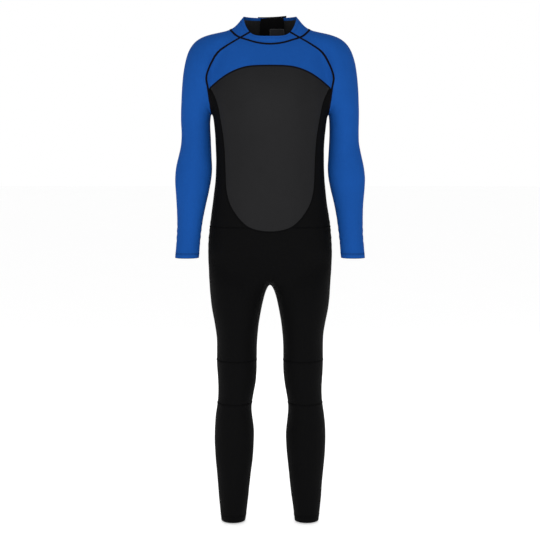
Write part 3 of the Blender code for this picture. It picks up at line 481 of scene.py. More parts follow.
class Finishes:
    """The materials of the suit."""

    def __init__(self):
        self.blue = jersey("blue_jersey", BLUE, 0.0014, 0.00010, 0.0)
        self.black = jersey("black_jersey", BLACK, 0.0014, 0.00010, 0.004)
        self.lining = woven("lining", (0.0022, 0.0022, 0.0026), 0.0016, 0.3, 0.00010)
        self.foam_edge = pile("foam_edge", (0.0070, 0.0070, 0.0075), 1500.0, 0.00012)
        self.skin = smooth_skin("smooth_skin", CHARCOAL)
        self.seam = thread("flatlock_thread", SEAM_BLACK, 0.0013)
        self.quiet_seam = thread("black_thread", (0.0019, 0.0019, 0.0021), 0.0013)
        self.hem_thread = thread("navy_thread", STITCH_NAVY, 0.0012)
        self.collar_thread = thread("blue_thread", BLUE_THREAD, 0.0012)
        self.tape = woven("zip_tape", (0.0080, 0.0080, 0.0088), 0.0011, 0.35, 0.00012)
        self.hook = pile("hook_cloth", (0.0065, 0.0065, 0.0072), 620.0, 0.00045)
        self.loop = pile("loop_cloth", (0.0085, 0.0085, 0.0092), 380.0, 0.00060)
        self.label = woven("label_cloth", (0.0130, 0.0130, 0.0145), 0.0009, 0.3, 0.00008)
        self.label_edge = thread("label_edge", (0.075, 0.075, 0.080), 0.0011)
        self.plastic = moulded("zip_plastic", (0.0095, 0.0095, 0.0105), 0.34)
        self.metal = enamel("zip_metal", (0.0105, 0.0105, 0.0115))


# ---------------------------------------------------------------- the body's surface

def ring_fullness(columns):
    """How far a ring of cage points stands outside the smooth surface it makes."""
    return 6.0 / (4.0 + 2.0 * math.cos(2.0 * math.pi / columns))


def torso_ring(section, scoop=2.0):
    front_z, side_z, back_z, half_width, front, back, squareness = section
    fullness = ring_fullness(TORSO_COLUMNS)
    points = []
    for column in range(TORSO_COLUMNS):
        angle = 2.0 * math.pi * column / TORSO_COLUMNS
        sine = math.sin(angle)
        cosine = math.cos(angle)
        x = math.copysign(abs(sine) ** (2.0 / squareness), sine) * half_width * fullness
        reach = abs(cosine) ** (2.0 / squareness) * fullness
        y = -front * reach if cosine > 0.0 else back * reach
        end_z = front_z if cosine > 0.0 else back_z
        dip = 1.0 - abs(sine) ** (scoop if cosine > 0.0 else 2.0)
        points.append(Vector((x, y, side_z + (end_z - side_z) * dip)))
    return points


def limb_ring(section, side, columns):
    """Points around a limb, starting at its inner side and running over its front."""
    inner_x, inner_z, outer_x, outer_z, middle_y, half_depth = section
    fullness = ring_fullness(columns)
    points = []
    for column in range(columns):
        angle = 2.0 * math.pi * column / columns
        share = 0.5 - 0.5 * math.cos(angle) * fullness
        x = inner_x + (outer_x - inner_x) * share
        z = inner_z + (outer_z - inner_z) * share
        points.append(Vector((side * x, middle_y - half_depth * math.sin(angle) * fullness, z)))
    return points


def extrude_ring(bm, ring, points):
    """Extrude an open ring of vertices and move the new ring to the given points."""
    size = len(ring)
    edges = [bm.edges.get((ring[i], ring[(i + 1) % size])) for i in range(size)]
    made = bmesh.ops.extrude_edge_only(bm, edges=edges)["geom"]
    fresh = {item for item in made if isinstance(item, bmesh.types.BMVert)}
    next_ring = []
    for vert, point in zip(ring, points):
        twin = next(edge.other_vert(vert) for edge in vert.link_edges if edge.other_vert(vert) in fresh)
        next_ring.append(twin)
        twin.co = point
    return next_ring


def body_cage():
    """The coarse cage of the whole suit: torso and collar, then two legs and two sleeves."""
    bm = bmesh.new()
    ring = list(bmesh.ops.create_circle(bm, segments=TORSO_COLUMNS, radius=0.1)["verts"])
    for vert, point in zip(ring, torso_ring(TORSO[0])):
        vert.co = point
    rings = [ring]
    for row, section in enumerate(TORSO[1:], 1):
        scoop = NECK_SCOOP[max(0, row - len(TORSO) + len(NECK_SCOOP))]
        rings.append(extrude_ring(bm, rings[-1], torso_ring(section, scoop)))
    half = TORSO_COLUMNS // 2
    crotch = bm.verts.new(CROTCH)
    bm.edges.new((rings[0][0], crotch))
    bm.edges.new((crotch, rings[0][half]))
    for side in (1, -1):
        ring = [crotch] + [rings[0][(side * column) % TORSO_COLUMNS] for column in range(half + 1)]
        for section in LEG:
            ring = extrude_ring(bm, ring, limb_ring(section, side, len(ring)))
        add_sleeve(bm, rings, side)
    bmesh.ops.recalc_face_normals(bm, faces=bm.faces)
    return bm


def add_sleeve(bm, rings, side):
    low, high = ARMHOLE_RINGS
    quarter = TORSO_COLUMNS // 4
    front, middle, back = ((side * (quarter + step)) % TORSO_COLUMNS for step in (-1, 0, 1))
    opening = {rings[row][column] for row in range(low, high + 1) for column in (front, middle, back)}
    cut_out = [face for face in bm.faces if all(vert in opening for vert in face.verts)]
    ring = [rings[low][middle]]
    ring += [rings[row][front] for row in range(low, high + 1)]
    ring += [rings[high][middle]]
    ring += [rings[row][back] for row in range(high, low - 1, -1)]
    bmesh.ops.delete(bm, geom=cut_out, context="FACES")
    for section in SLEEVE:
        ring = extrude_ring(bm, ring, limb_ring(section, side, len(ring)))


def smooth_body(levels):
    """The suit's outer surface, subdivided from its cage."""
    mesh = bpy.data.meshes.new("body")
    cage = body_cage()
    cage.to_mesh(mesh)
    cage.free()
    body = bpy.data.objects.new("body", mesh)
    bpy.context.scene.collection.objects.link(body)
    subdivide = body.modifiers.new("smooth", "SUBSURF")
    subdivide.levels = levels
    subdivide.render_levels = levels
    bpy.context.view_layer.update()
    finished = body.evaluated_get(bpy.context.evaluated_depsgraph_get())
    smooth = bpy.data.meshes.new_from_object(finished)
    bm = bmesh.new()
    bm.from_mesh(smooth)
    bpy.data.objects.remove(body)
    bpy.data.meshes.remove(mesh)
    bpy.data.meshes.remove(smooth)
    return bm


def fan_folds(x, z, centre, folds, reach, height):
    """Soft folds that spread from a point, such as an armpit."""
    across = x - centre[0]
    up = z - centre[1]
    distance = np.sqrt(across**2 + up**2) + 1e-9
    turn = np.arctan2(up, across)
    return height * np.sin(turn * folds) * np.exp(-distance / reach) * (distance / (distance + 0.012))


def joint_creases(z, middle, spread, pitch, height):
    """Creases pressed in across the inside of a joint."""
    return height * np.sin((z - middle) * 2.0 * math.pi / pitch) * np.exp(-((z - middle) / spread) ** 2)


def relax_cloth(bm):
    """Give the drawn surface the small unevenness of foam cloth that nothing fills quite tightly."""
    bm.normal_update()
    co = coordinates(bm)
    x, y, z = np.abs(co[:, 0]), co[:, 1], co[:, 2]
    on_sleeve = x > 0.172
    front = np.clip(-y / 0.04, 0.0, 1.0)
    back = np.clip(y / 0.04, 0.0, 1.0)
    height = fan_folds(x, z, (0.172, 1.205), 9.0, 0.040, 0.0020) * (0.5 * front + back)
    height += fan_folds(x, z, (0.0, 0.705), 10.0, 0.050, 0.0016) * (0.4 * front + back)
    height += joint_creases(z, 1.055, 0.034, 0.021, 0.0010) * np.clip(-(y + 0.005) / 0.03, 0.0, 1.0) * on_sleeve
    height += joint_creases(z, 0.425, 0.050, 0.027, 0.0012) * back * (z < 0.6)
    height += joint_creases(z, 0.935, 0.050, 0.037, 0.0012) * np.clip((y - 0.04) / 0.03, 0.0, 1.0) * (~on_sleeve)
    height += joint_creases(z, 0.070, 0.050, 0.024, 0.0007) * (z < 0.25)
    height += joint_creases(z, 0.870, 0.045, 0.022, 0.0006) * on_sleeve
    calm = np.clip((z - 1.38) / 0.03, 0.0, 1.0) * (x < 0.14)
    for vert, lift, still in zip(bm.verts, height * (1.0 - calm), calm):
        wave = noise.noise(vert.co * 13.0) * 0.0011 + noise.noise(vert.co * 34.0) * 0.00045
        vert.co += vert.normal * (lift + wave * (1.0 - 0.7 * still))


# ---------------------------------------------------------------- the pattern and its cuts

def smooth_curve(points, steps=8):
    """Points along a Catmull-Rom curve through the given points."""
    points = np.array(points)
    before = np.vstack((2 * points[0] - points[1], points[:-1]))
    after = np.vstack((points[1:], 2 * points[-1] - points[-2]))
    slope = (after - before) / 2.0
    t = np.linspace(0.0, 1.0, steps, endpoint=False)[:, None]
    pieces = []
    for i in range(len(points) - 1):
        p, q, u, v = points[i], points[i + 1], slope[i], slope[i + 1]
        pieces.append((2 * t**3 - 3 * t**2 + 1) * p + (t**3 - 2 * t**2 + t) * u
                      + (3 * t**2 - 2 * t**3) * q + (t**3 - t**2) * v)
    pieces.append(points[-1:])
    return np.vstack(pieces)


class Line:
    """A seam drawn on a flat pattern: signed distance from it, and how far along it a point lies."""

    def __init__(self, points, sign=1.0):
        curve = smooth_curve(points)
        self.start = curve[:-1]
        self.step = curve[1:] - curve[:-1]
        self.sign = sign
        self.run = np.concatenate(((0.0,), np.cumsum(np.sqrt((self.step**2).sum(1)))[:-1]))

    def nearest(self, flat):
        offset = flat[:, None, :] - self.start[None]
        length = (self.step**2).sum(1)
        along = np.clip((offset * self.step[None]).sum(2) / length[None], 0.0, 1.0)
        miss = offset - along[:, :, None] * self.step[None]
        distance = np.sqrt((miss**2).sum(2))
        pick = distance.argmin(1)
        rows = np.arange(len(flat))
        return pick, offset[rows, pick], distance[rows, pick], along[rows, pick]

    def __call__(self, flat):
        pick, toward, distance, _ = self.nearest(flat)
        step = self.step[pick]
        return self.sign * np.sign(step[:, 0] * toward[:, 1] - step[:, 1] * toward[:, 0]) * distance

    def along(self, flat):
        pick, _, _, share = self.nearest(flat)
        return self.run[pick] + share * np.sqrt((self.step[pick] ** 2).sum(1))


def front_view(co):
    return np.column_stack((np.abs(co[:, 0]), co[:, 2]))


class Pattern:
    """Every seam and joint line of the suit, as fields over the body surface."""

    def __init__(self):
        self.raglan_front = Line(RAGLAN_FRONT)
        self.raglan_back = Line(RAGLAN_BACK)
        self.neck_front = Line(NECK_FRONT)
        self.neck_back = Line(NECK_BACK)
        self.top = Line(CHEST_TOP, -1.0)
        self.side = Line(CHEST_SIDE, -1.0)
        self.back_side = Line(BACK_SIDE, -1.0)

    def raglan(self, co):
        """Positive on the sleeve."""
        flat = front_view(co)
        return np.where(co[:, 1] < SHOULDER_LINE, self.raglan_front(flat), self.raglan_back(flat))

    def raglan_run(self, co):
        """Distance along the armhole: down its front and up its back."""
        flat = front_view(co)
        front = self.raglan_front.along(flat)
        back = 2.0 - self.raglan_back.along(flat)
        return np.where(co[:, 1] < SHOULDER_LINE, front, back)

    def neck(self, co):
        """Positive on the collar."""
        at_neck = (co[:, 2] > NECK_FLOOR) & (np.abs(co[:, 0]) < NECK_REACH)
        level = np.full(len(co), -1.0)
        near = co[at_neck]
        if len(near):
            flat = front_view(near)
            share = np.clip((near[:, 1] + NECK_TURN) / (2.0 * NECK_TURN), 0.0, 1.0)
            level[at_neck] = (1.0 - share) * self.neck_front(flat) + share * self.neck_back(flat)
        return level

    def chest_top(self, co):
        return self.top(front_view(co))

    def chest_side(self, co):
        return self.side(front_view(co))

    def chest(self, co):
        """Positive inside the chest panel."""
        return np.minimum(self.chest_top(co), self.chest_side(co))

    def back_strip(self, co):
        """Positive between the zip and the side panel."""
        return self.back_side(front_view(co))

    def shoulder(self, co):
        """Distance down the sleeve from the plane through the armpit."""
        across = np.abs(co[:, 0]) - ARMPIT.x
        return across * math.sin(SHOULDER_LEAN) - (co[:, 2] - ARMPIT.z) * math.cos(SHOULDER_LEAN)

    def hip(self, co):
        """Distance down the leg from the plane through the crotch."""
        return np.abs(co[:, 0]) * math.sin(HIP_LEAN) - (co[:, 2] - CROTCH.z) * math.cos(HIP_LEAN)


def middle(co):
    return np.abs(co[:, 0])


def height(co):
    return co[:, 2]


def coordinates(bm):
    return np.array([vert.co[:] for vert in bm.verts])


def cut(bm, field, value, where):
    """Cut every face along the curve where the field has the given value."""
    bm.verts.index_update()
    co = coordinates(bm)
    inside = where(co)
    level = np.ones(len(co))
    level[inside] = field(co[inside]) - value
    level[np.abs(level) < ON_LINE] = 0.0
    edges = [e for e in bm.edges if inside[e.verts[0].index] and inside[e.verts[1].index]
             and level[e.verts[0].index] * level[e.verts[1].index] < 0.0]
    if not edges:
        return
    on_line = [vert for vert in bm.verts if inside[vert.index] and level[vert.index] == 0.0]
    first = co[[e.verts[0].index for e in edges]]
    second = co[[e.verts[1].index for e in edges]]
    rising = level[[e.verts[1].index for e in edges]] > 0.0
    low = np.zeros(len(edges))
    high = np.ones(len(edges))
    for _ in range(14):
        half = (low + high) / 2.0
        above = field(first + (second - first) * half[:, None]) - value > 0.0
        past = above == rising
        high = np.where(past, half, high)
        low = np.where(past, low, half)
    for edge, share in zip(edges, (low + high) / 2.0):
        on_line.append(bmesh.utils.edge_split(edge, edge.verts[0], share)[1])
    bmesh.ops.connect_verts(bm, verts=on_line)


def pattern_cuts(pattern):
    """Each line that the body is cut along: its field, its values and where it is drawn."""

    def on_sleeve(co):
        return (pattern.raglan(co) > -0.001) & (pattern.neck(co) < 0.001)

    def on_body(co):
        return (pattern.raglan(co) < 0.001) & (pattern.neck(co) < 0.001)

    def at_neck(co):
        return (co[:, 2] > NECK_FLOOR) & (np.abs(co[:, 0]) < NECK_REACH)

    def at_raglan(co):
        return (co[:, 2] > ARMPIT.z - 0.08) & ((co[:, 1] < SHOULDER_LINE) | (pattern.neck(co) < 0.010))

    def on_front(co):
        return on_body(co) & (co[:, 1] < 0.0)

    def off_chest(co):
        at_waist = np.abs(co[:, 2] - WAIST_HEIGHT) < 0.03
        return on_body(co) & ((co[:, 1] > 0.0) | (pattern.chest(co) < 0.001)) & at_waist

    def below_waist(co):
        return (co[:, 2] < WAIST_HEIGHT + 0.01) & on_body(co)

    def on_back_panel(co):
        between = (co[:, 2] > WAIST_HEIGHT - 0.01) & (co[:, 2] < BACK_YOKE_HEIGHT + 0.01)
        return (co[:, 1] > 0.0) & between & on_body(co)

    def behind(co):
        return (co[:, 1] > 0.0) & (np.abs(co[:, 2] - BACK_YOKE_HEIGHT) < 0.03) & on_body(co)

    def at_slot(co):
        return (co[:, 1] > 0.0) & (co[:, 2] > WAIST_HEIGHT - 0.01) & (np.abs(co[:, 0]) < 0.03)

    return (
        (pattern.neck, 0.0, at_neck),
        (pattern.raglan, 0.0, at_raglan),
        (pattern.chest, 0.0, on_front),
        (height, WAIST_HEIGHT, off_chest),
        (height, BACK_YOKE_HEIGHT, behind),
        (pattern.back_strip, 0.0, on_back_panel),
        (pattern.hip, HIP_START, below_waist),
        (height, KNEE_TOP, below_waist),
        (height, KNEE_BOTTOM, below_waist),
        (height, ANKLE_HEIGHT + ANKLE_HEM_HEIGHT, below_waist),
        (pattern.shoulder, SHOULDER_START, on_sleeve),
        (height, ELBOW_TOP, on_sleeve),
        (height, WRIST_HEIGHT + HEM_HEIGHT, on_sleeve),
        (middle, ZIP_SLOT / 2.0, at_slot),
    )


def extreme(values, face):
    """The field value furthest from zero among a face's corners."""
    return max((values[vert.index] for vert in face.verts), key=abs)


class Place:
    """Where one face lies among the seam lines."""

    def __init__(self, face, levels):
        self.centre = face.calc_center_median()
        self.face = face
        self.levels = levels

    def beyond(self, name, value=0.0):
        """Whether the face lies past a line, told by its corner furthest from that line."""
        return extreme(self.levels[name] - value, self.face) > 0.0


def panel_name(place):
    """The cloth panel that a face belongs to, or None in the zip's slot."""
    side = "left" if place.centre.x > 0.0 else "right"
    front = place.centre.y < 0.0
    in_slot = not front and place.centre.z > WAIST_HEIGHT and not place.beyond("middle", ZIP_SLOT / 2.0)
    if in_slot:
        return None
    if place.beyond("neck"):
        return "collar_front" if front and not place.beyond("raglan") else "collar_" + side
    if place.beyond("raglan"):
        if not place.beyond("shoulder", SHOULDER_START):
            return "shoulder_" + side
        return ("upper_sleeve_" if place.beyond("height", ELBOW_TOP) else "lower_sleeve_") + side
    if place.beyond("height", WAIST_HEIGHT) or (front and place.beyond("chest")):
        return torso_panel(place, side, front)
    if not place.beyond("hip", HIP_START):
        return "hips"
    if place.beyond("height", KNEE_TOP):
        return "thigh_" + side
    return ("knee_" if place.beyond("height", KNEE_BOTTOM) else "shin_") + side


def torso_panel(place, side, front):
    if front:
        if place.beyond("chest"):
            return "chest"
        return "flank_" + side if place.beyond("chest_top") else "front_yoke"
    if place.beyond("height", BACK_YOKE_HEIGHT):
        return "back_yoke_" + side
    return "back_" + side if place.beyond("back_strip") else "flank_" + side


# ---------------------------------------------------------------- panels

def count_rows_from_collar(bm):
    """Store how many rows of mesh lie between each vertex and the collar's top edge."""
    rows = bm.verts.layers.float.new("rows")
    for vert in bm.verts:
        vert[rows] = 20.0
    ring = [vert for vert in bm.verts if vert.is_boundary and vert.co.z > NECK_FLOOR]
    seen = set(ring)
    for row in range(20):
        for vert in ring:
            vert[rows] = float(row)
        ring = [edge.other_vert(vert) for vert in ring for edge in vert.link_edges]
        ring = list({vert for vert in ring if vert not in seen})
        seen.update(ring)
    return rows


def store_outward(bm):
    """Keep the whole body's normals, so that neighbouring panels thicken and shade alike."""
    bm.normal_update()
    outward = bm.verts.layers.float_vector.new("outward")
    for vert in bm.verts:
        vert[outward] = vert.normal


def kept_faces(source, keep):
    """A copy of the surface with only the faces that pass the test."""
    source.faces.index_update()
    wanted = {face.index for face in source.faces if keep(face)}
    bm = source.copy()
    bm.faces.index_update()
    bmesh.ops.delete(bm, geom=[f for f in bm.faces if f.index not in wanted], context="FACES")
    return bm


def lay_cloth_map(bm, axis_top, axis_bottom):
    """A UV map in metres: around an axis and down it. Returns the panel's flat width and length, and area."""
    top = Vector(axis_top)
    down = (Vector(axis_bottom) - top).normalized()
    across = Vector((1.0, 0.0, 0.0))
    ahead = down.cross(across).normalized()
    across = ahead.cross(down)
    area = sum(face.calc_area() for face in bm.faces)
    cloth = bm.loops.layers.uv.new("cloth")
    corners = []
    for face in bm.faces:
        offset = face.calc_center_median() - top
        centre = math.atan2(offset.dot(across), offset.dot(ahead))
        for loop in face.loops:
            offset = loop.vert.co - top
            angle = math.atan2(offset.dot(across), offset.dot(ahead))
            angle = centre + (angle - centre + math.pi) % (2.0 * math.pi) - math.pi
            corners.append((loop, angle, offset.dot(down)))
    angles = np.array([angle for _, angle, _ in corners])
    falls = np.array([fall for _, _, fall in corners])
    turn = min(angles.max() - angles.min(), 2.0 * math.pi)
    gap = np.sort(np.mod(angles, 2.0 * math.pi))
    widest_gap = max(np.diff(gap).max(), gap[0] + 2.0 * math.pi - gap[-1])
    if widest_gap > 0.2:
        turn = min(turn, 2.0 * math.pi - widest_gap)
    rise = falls.max() - falls.min()
    radius = 1.1 * area / (turn * rise)
    for loop, angle, fall in corners:
        loop[cloth].uv = (angle * radius, -fall)
    return (radius * turn, rise), area


OUTER, INNER, RIM = 0, 1, 2


def thicken(bm, outer, inner, hem=None):
    """Turn an open surface into a wall between two distances along the stored normals.

    hem is a test for the vertices of an open edge, which is made round.
    """
    outward = bm.verts.layers.float_vector["outward"]
    wall = bm.faces.layers.int.new("wall")
    open_hem = any(hem and edge.is_boundary and all(hem(v) for v in edge.verts) for edge in bm.edges)
    for vert in bm.verts:
        vert.co += vert[outward] * outer
    first = set(bm.faces)
    made = bmesh.ops.extrude_face_region(bm, geom=list(bm.faces), use_keep_orig=True)["geom"]
    second = {item for item in made if isinstance(item, bmesh.types.BMFace)}
    for item in made:
        if isinstance(item, bmesh.types.BMVert):
            item.co -= item[outward] * (outer - inner)
    for face in bm.faces:
        face[wall] = OUTER if face in first else (INNER if face in second else RIM)
    bmesh.ops.recalc_face_normals(bm, faces=bm.faces)
    if bm.calc_volume(signed=True) < 0.0:
        bmesh.ops.reverse_faces(bm, faces=bm.faces)
    if open_hem:
        round_hem(bm, wall, hem)


def round_hem(bm, wall, hem):
    """Round the cut edge of a wrist, ankle or collar."""
    rims = {face for face in bm.faces if face[wall] == RIM and all(hem(v) for v in face.verts)}
    edges = []
    for face in rims:
        for edge in face.edges:
            others = [f for f in edge.link_faces if f is not face]
            if others and others[0][wall] != RIM:
                edges.append(edge)
    made = bmesh.ops.bevel(bm, geom=edges, offset=HEM_ROUNDING, segments=3, profile=0.5, affect="EDGES",
                           material=-1)
    for face in made["faces"]:
        face[wall] = RIM


def dress(bm, name, materials):
    """Make a thickened panel an object, shaded with the whole body's normals on both its walls."""
    bm.transform(DROP)
    mesh = bpy.data.meshes.new(name)
    bm.to_mesh(mesh)
    bm.free()
    for material in materials:
        mesh.materials.append(material)
    mesh.shade_smooth()
    count = len(mesh.loops)
    vertex = np.zeros(count, dtype=np.int32)
    mesh.loops.foreach_get("vertex_index", vertex)
    outward = np.zeros(len(mesh.vertices) * 3)
    mesh.attributes["outward"].data.foreach_get("vector", outward)
    outward = outward.reshape(-1, 3)
    wall = np.zeros(len(mesh.polygons), dtype=np.int32)
    mesh.attributes["wall"].data.foreach_get("value", wall)
    sizes = np.zeros(len(mesh.polygons), dtype=np.int32)
    mesh.polygons.foreach_get("loop_total", sizes)
    wall = np.repeat(wall, sizes)
    normals = outward[vertex] * np.where(wall == INNER, -1.0, 1.0)[:, None]
    plain = np.array([vert.vector[:] for vert in mesh.vertex_normals])
    normals[wall == RIM] = plain[vertex[wall == RIM]]
    lengths = np.linalg.norm(normals, axis=1)
    normals[lengths < 0.5] = plain[vertex[lengths < 0.5]]
    mesh.normals_split_custom_set(normals)
    for attribute in ("outward", "wall", "rows"):
        if attribute in mesh.attributes:
            mesh.attributes.remove(mesh.attributes[attribute])
    obj = bpy.data.objects.new(name, mesh)
    bpy.context.scene.collection.objects.link(obj)
    return obj


def add_object(name, bm, materials, smooth=True):
    mesh = bpy.data.meshes.new(name)
    bm.to_mesh(mesh)
    bm.free()
    for material in materials:
        mesh.materials.append(material)
    if smooth:
        mesh.shade_smooth()
        mesh.set_sharp_from_angle(angle=math.radians(42.0))
    obj = bpy.data.objects.new(name, mesh)
    bpy.context.scene.collection.objects.link(obj)
    return obj


def shoulder_bend(sign):
    lean = Vector((sign * math.sin(SHOULDER_LEAN), 0.0, -math.cos(SHOULDER_LEAN)))
    pit = Vector((sign * ARMPIT.x, ARMPIT.y, ARMPIT.z - HANG_HEIGHT))
    return pit + lean * SHOULDER_START, pit + lean * SHOULDER_END


def hip_bend(sign):
    lean = Vector((sign * math.sin(HIP_LEAN), 0.0, -math.cos(HIP_LEAN)))
    fork = CROTCH - Vector((0.0, 0.0, HANG_HEIGHT))
    return fork + lean * HIP_START, fork + lean * HIP_END


def level_bend(top, bottom):
    return (0.0, 0.0, top - HANG_HEIGHT), (0.0, 0.0, bottom - HANG_HEIGHT)


TRUNK_AXIS = ((0.0, 0.0, 1.5), (0.0, 0.0, 0.8))


def panel_table(paint):
    """Each cloth panel: face material, slot, cloth axis, bodies, bend and the solids it stands for."""
    blue = (paint.blue, "blue_jersey")
    black = (paint.black, "black_jersey")
    table = {
        "collar_front": (*blue, TRUNK_AXIS, ("suit",), None, ("collar_front",)),
        "front_yoke": (*blue, TRUNK_AXIS, ("suit",), None, ("front_yoke",)),
        "chest": (paint.skin, "smooth_skin", TRUNK_AXIS, ("suit",), None, ("chest_panel",)),
        "hips": (*black, TRUNK_AXIS, ("suit",), None, ("pelvis_front", "seat")),
    }
    for side, sign in SIDES:
        arm = ((sign * 0.205, 0.004, 1.40), (sign * 0.220, 0.004, 1.10))
        forearm = ((sign * 0.222, 0.000, 1.06), (sign * 0.243, -0.029, 0.794))
        leg = ((sign * 0.098, 0.004, 0.71), (sign * 0.100, -0.003, 0.40))
        calf = ((sign * 0.103, 0.006, 0.36), (sign * 0.110, 0.006, 0.0))
        upper_arm = "upper_arm_" + side
        thigh = "thigh_" + side
        shin = "shin_" + side
        table.update({
            "collar_" + side: (*blue, TRUNK_AXIS, ("suit",), None, ("collar_" + side,)),
            "back_yoke_" + side: (*blue, TRUNK_AXIS, ("suit",), None, ("back_yoke_" + side,)),
            "flank_" + side: (*black, TRUNK_AXIS, ("suit",), None, ("side_panel_" + side,)),
            "back_" + side: (*black, TRUNK_AXIS, ("suit",), None, ("back_panel_" + side,)),
            "shoulder_" + side: (*blue, arm, ("suit",), None, ("sleeve_cap_" + side,)),
            "upper_sleeve_" + side: (*blue, arm, ("suit", upper_arm), shoulder_bend(sign),
                                     ("shoulder_band_" + side, "upper_sleeve_" + side)),
            "lower_sleeve_" + side: (*blue, forearm, (upper_arm, "forearm_" + side),
                                     level_bend(ELBOW_TOP, ELBOW_BOTTOM),
                                     ("elbow_band_" + side, "lower_sleeve_" + side, "wrist_hem_" + side)),
            "thigh_" + side: (*black, leg, ("suit", thigh), hip_bend(sign),
                              ("hip_band_" + side, "thigh_" + side)),
            "knee_" + side: (*black, leg, (thigh, shin), level_bend(KNEE_TOP, KNEE_BOTTOM),
                             ("knee_panel_" + side,)),
            "shin_" + side: (*black, calf, (shin,), None, ("shin_" + side, "ankle_hem_" + side)),
        })
    return table


def attach(obj, bodies, bend):
    if bend:
        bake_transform(obj, bodies[0], bodies[1], start=bend[0], end=bend[1])
    else:
        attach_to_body(obj, bodies[0])


def hem_test(name, bm):
    """The test for a vertex on the panel's open hem, or None."""
    if name.startswith("lower_sleeve"):
        return lambda vert: vert.co.z < WRIST_HEIGHT + 0.002
    if name.startswith("shin"):
        return lambda vert: vert.co.z < ANKLE_HEIGHT + 0.002
    if name.startswith("collar"):
        rows = bm.verts.layers.float["rows"]
        return lambda vert: vert[rows] < 0.25
    return None


def add_panels(body, paint):
    """Every cloth panel: a wall of foam with its face cloth outside and the lining inside."""
    body.verts.index_update()
    co = coordinates(body)
    pattern = Pattern()
    levels = {
        "neck": pattern.neck(co), "raglan": pattern.raglan(co), "chest": pattern.chest(co),
        "chest_top": pattern.chest_top(co), "back_strip": pattern.back_strip(co),
        "shoulder": pattern.shoulder(co), "hip": pattern.hip(co), "height": co[:, 2], "middle": np.abs(co[:, 0]),
    }
    body.faces.index_update()
    names = [panel_name(Place(face, levels)) for face in body.faces]
    for name, (cloth, slot, axis, bodies, bend, nodes) in panel_table(paint).items():
        bm = kept_faces(body, lambda face: names[face.index] == name)
        flat, area = lay_cloth_map(bm, *axis)
        thicken(bm, 0.0, -FOAM, hem_test(name, bm))
        wall = bm.faces.layers.int["wall"]
        rows = bm.verts.layers.float["rows"]
        for face in bm.faces:
            turned = name.startswith("collar") and all(vert[rows] < COLLAR_TURN for vert in face.verts)
            if face[wall] == INNER:
                face.material_index = 0 if turned else 1
            elif face[wall] == RIM:
                face.material_index = 0 if turned else 2
        obj = dress(bm, name + "_cloth", (cloth, paint.lining, paint.foam_edge))
        attach(obj, bodies, bend)
        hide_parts(*nodes)


# ---------------------------------------------------------------- seams and stitching

ON_SEAM = 0.0003
STITCH_STEP = 0.0006
STRAIGHT_STEP = 0.002


class Track:
    """A line over the cloth that a seam follows, evenly stepped, with the cloth's outward direction."""

    def __init__(self, co, outward, key, closed, step):
        order = np.argsort(key)
        co = co[order]
        outward = outward[order]
        keep = [0]
        for i in range(1, len(co)):
            if np.linalg.norm(co[i] - co[keep[-1]]) > 0.0006:
                keep.append(i)
        co = co[keep]
        outward = outward[keep]
        if closed:
            co = np.vstack((co, co[:1]))
            outward = np.vstack((outward, outward[:1]))
        run = np.concatenate(((0.0,), np.cumsum(np.linalg.norm(np.diff(co, axis=0), axis=1))))
        count = max(int(round(run[-1] / step)), 8)
        self.run = np.linspace(0.0, run[-1], count + 1)
        self.closed = closed
        self.co = self.softened(np.column_stack([np.interp(self.run, run, co[:, a]) for a in range(3)]), 5)
        out = self.softened(np.column_stack([np.interp(self.run, run, outward[:, a]) for a in range(3)]), 8)
        self.out = out / np.linalg.norm(out, axis=1)[:, None]
        ahead = np.gradient(self.co, axis=0)
        if closed:
            ahead[0] = ahead[-1] = self.co[1] - self.co[-2]
        side = np.cross(ahead, self.out)
        self.side = side / np.linalg.norm(side, axis=1)[:, None]

    def softened(self, values, passes):
        for _ in range(passes):
            if self.closed:
                ring = values[:-1]
                ring = (np.roll(ring, 1, 0) + 2.0 * ring + np.roll(ring, -1, 0)) / 4.0
                values = np.vstack((ring, ring[:1]))
            else:
                inner = (values[:-2] + 2.0 * values[1:-1] + values[2:]) / 4.0
                values = np.vstack((values[:1], inner, values[-1:]))
        return values


def sweep(tracks, section):
    """A closed band along each track; section gives each step's outline as (across, out) pairs."""
    bm = bmesh.new()
    cloth = bm.loops.layers.uv.new("cloth")
    for track in tracks:
        outline = section(track)
        steps, points = outline.shape[:2]
        fresh = bmesh.ops.create_grid(bm, x_segments=steps - 1, y_segments=points, size=0.5)["verts"]
        where = (track.co[:, None] + track.side[:, None] * outline[:, :, :1] + track.out[:, None] * outline[:, :, 1:])
        spot = {}
        for vert in fresh:
            row = round((vert.co.x + 0.5) * (steps - 1))
            point = round((vert.co.y + 0.5) * points)
            spot[vert] = (row, point)
            vert.co = where[row, point % points]
        for face in {face for vert in fresh for face in vert.link_faces}:
            for loop in face.loops:
                row, point = spot[loop.vert]
                loop[cloth].uv = (track.run[row], point / points)
    bmesh.ops.remove_doubles(bm, verts=bm.verts, dist=1e-6)
    open_edges = [edge for edge in bm.edges if edge.is_boundary]
    if open_edges:
        bmesh.ops.holes_fill(bm, edges=open_edges, sides=0)
    bmesh.ops.recalc_face_normals(bm, faces=bm.faces)
    bm.transform(DROP)
    return bm


FLATLOCK_TOP = ((-1.0, 0.10), (-0.90, 0.62), (-0.72, 0.95), (-0.52, 0.66), (-0.30, 0.92), (0.0, 0.64),
                (0.30, 0.92), (0.52, 0.66), (0.72, 0.95), (0.90, 0.62), (1.0, 0.10))


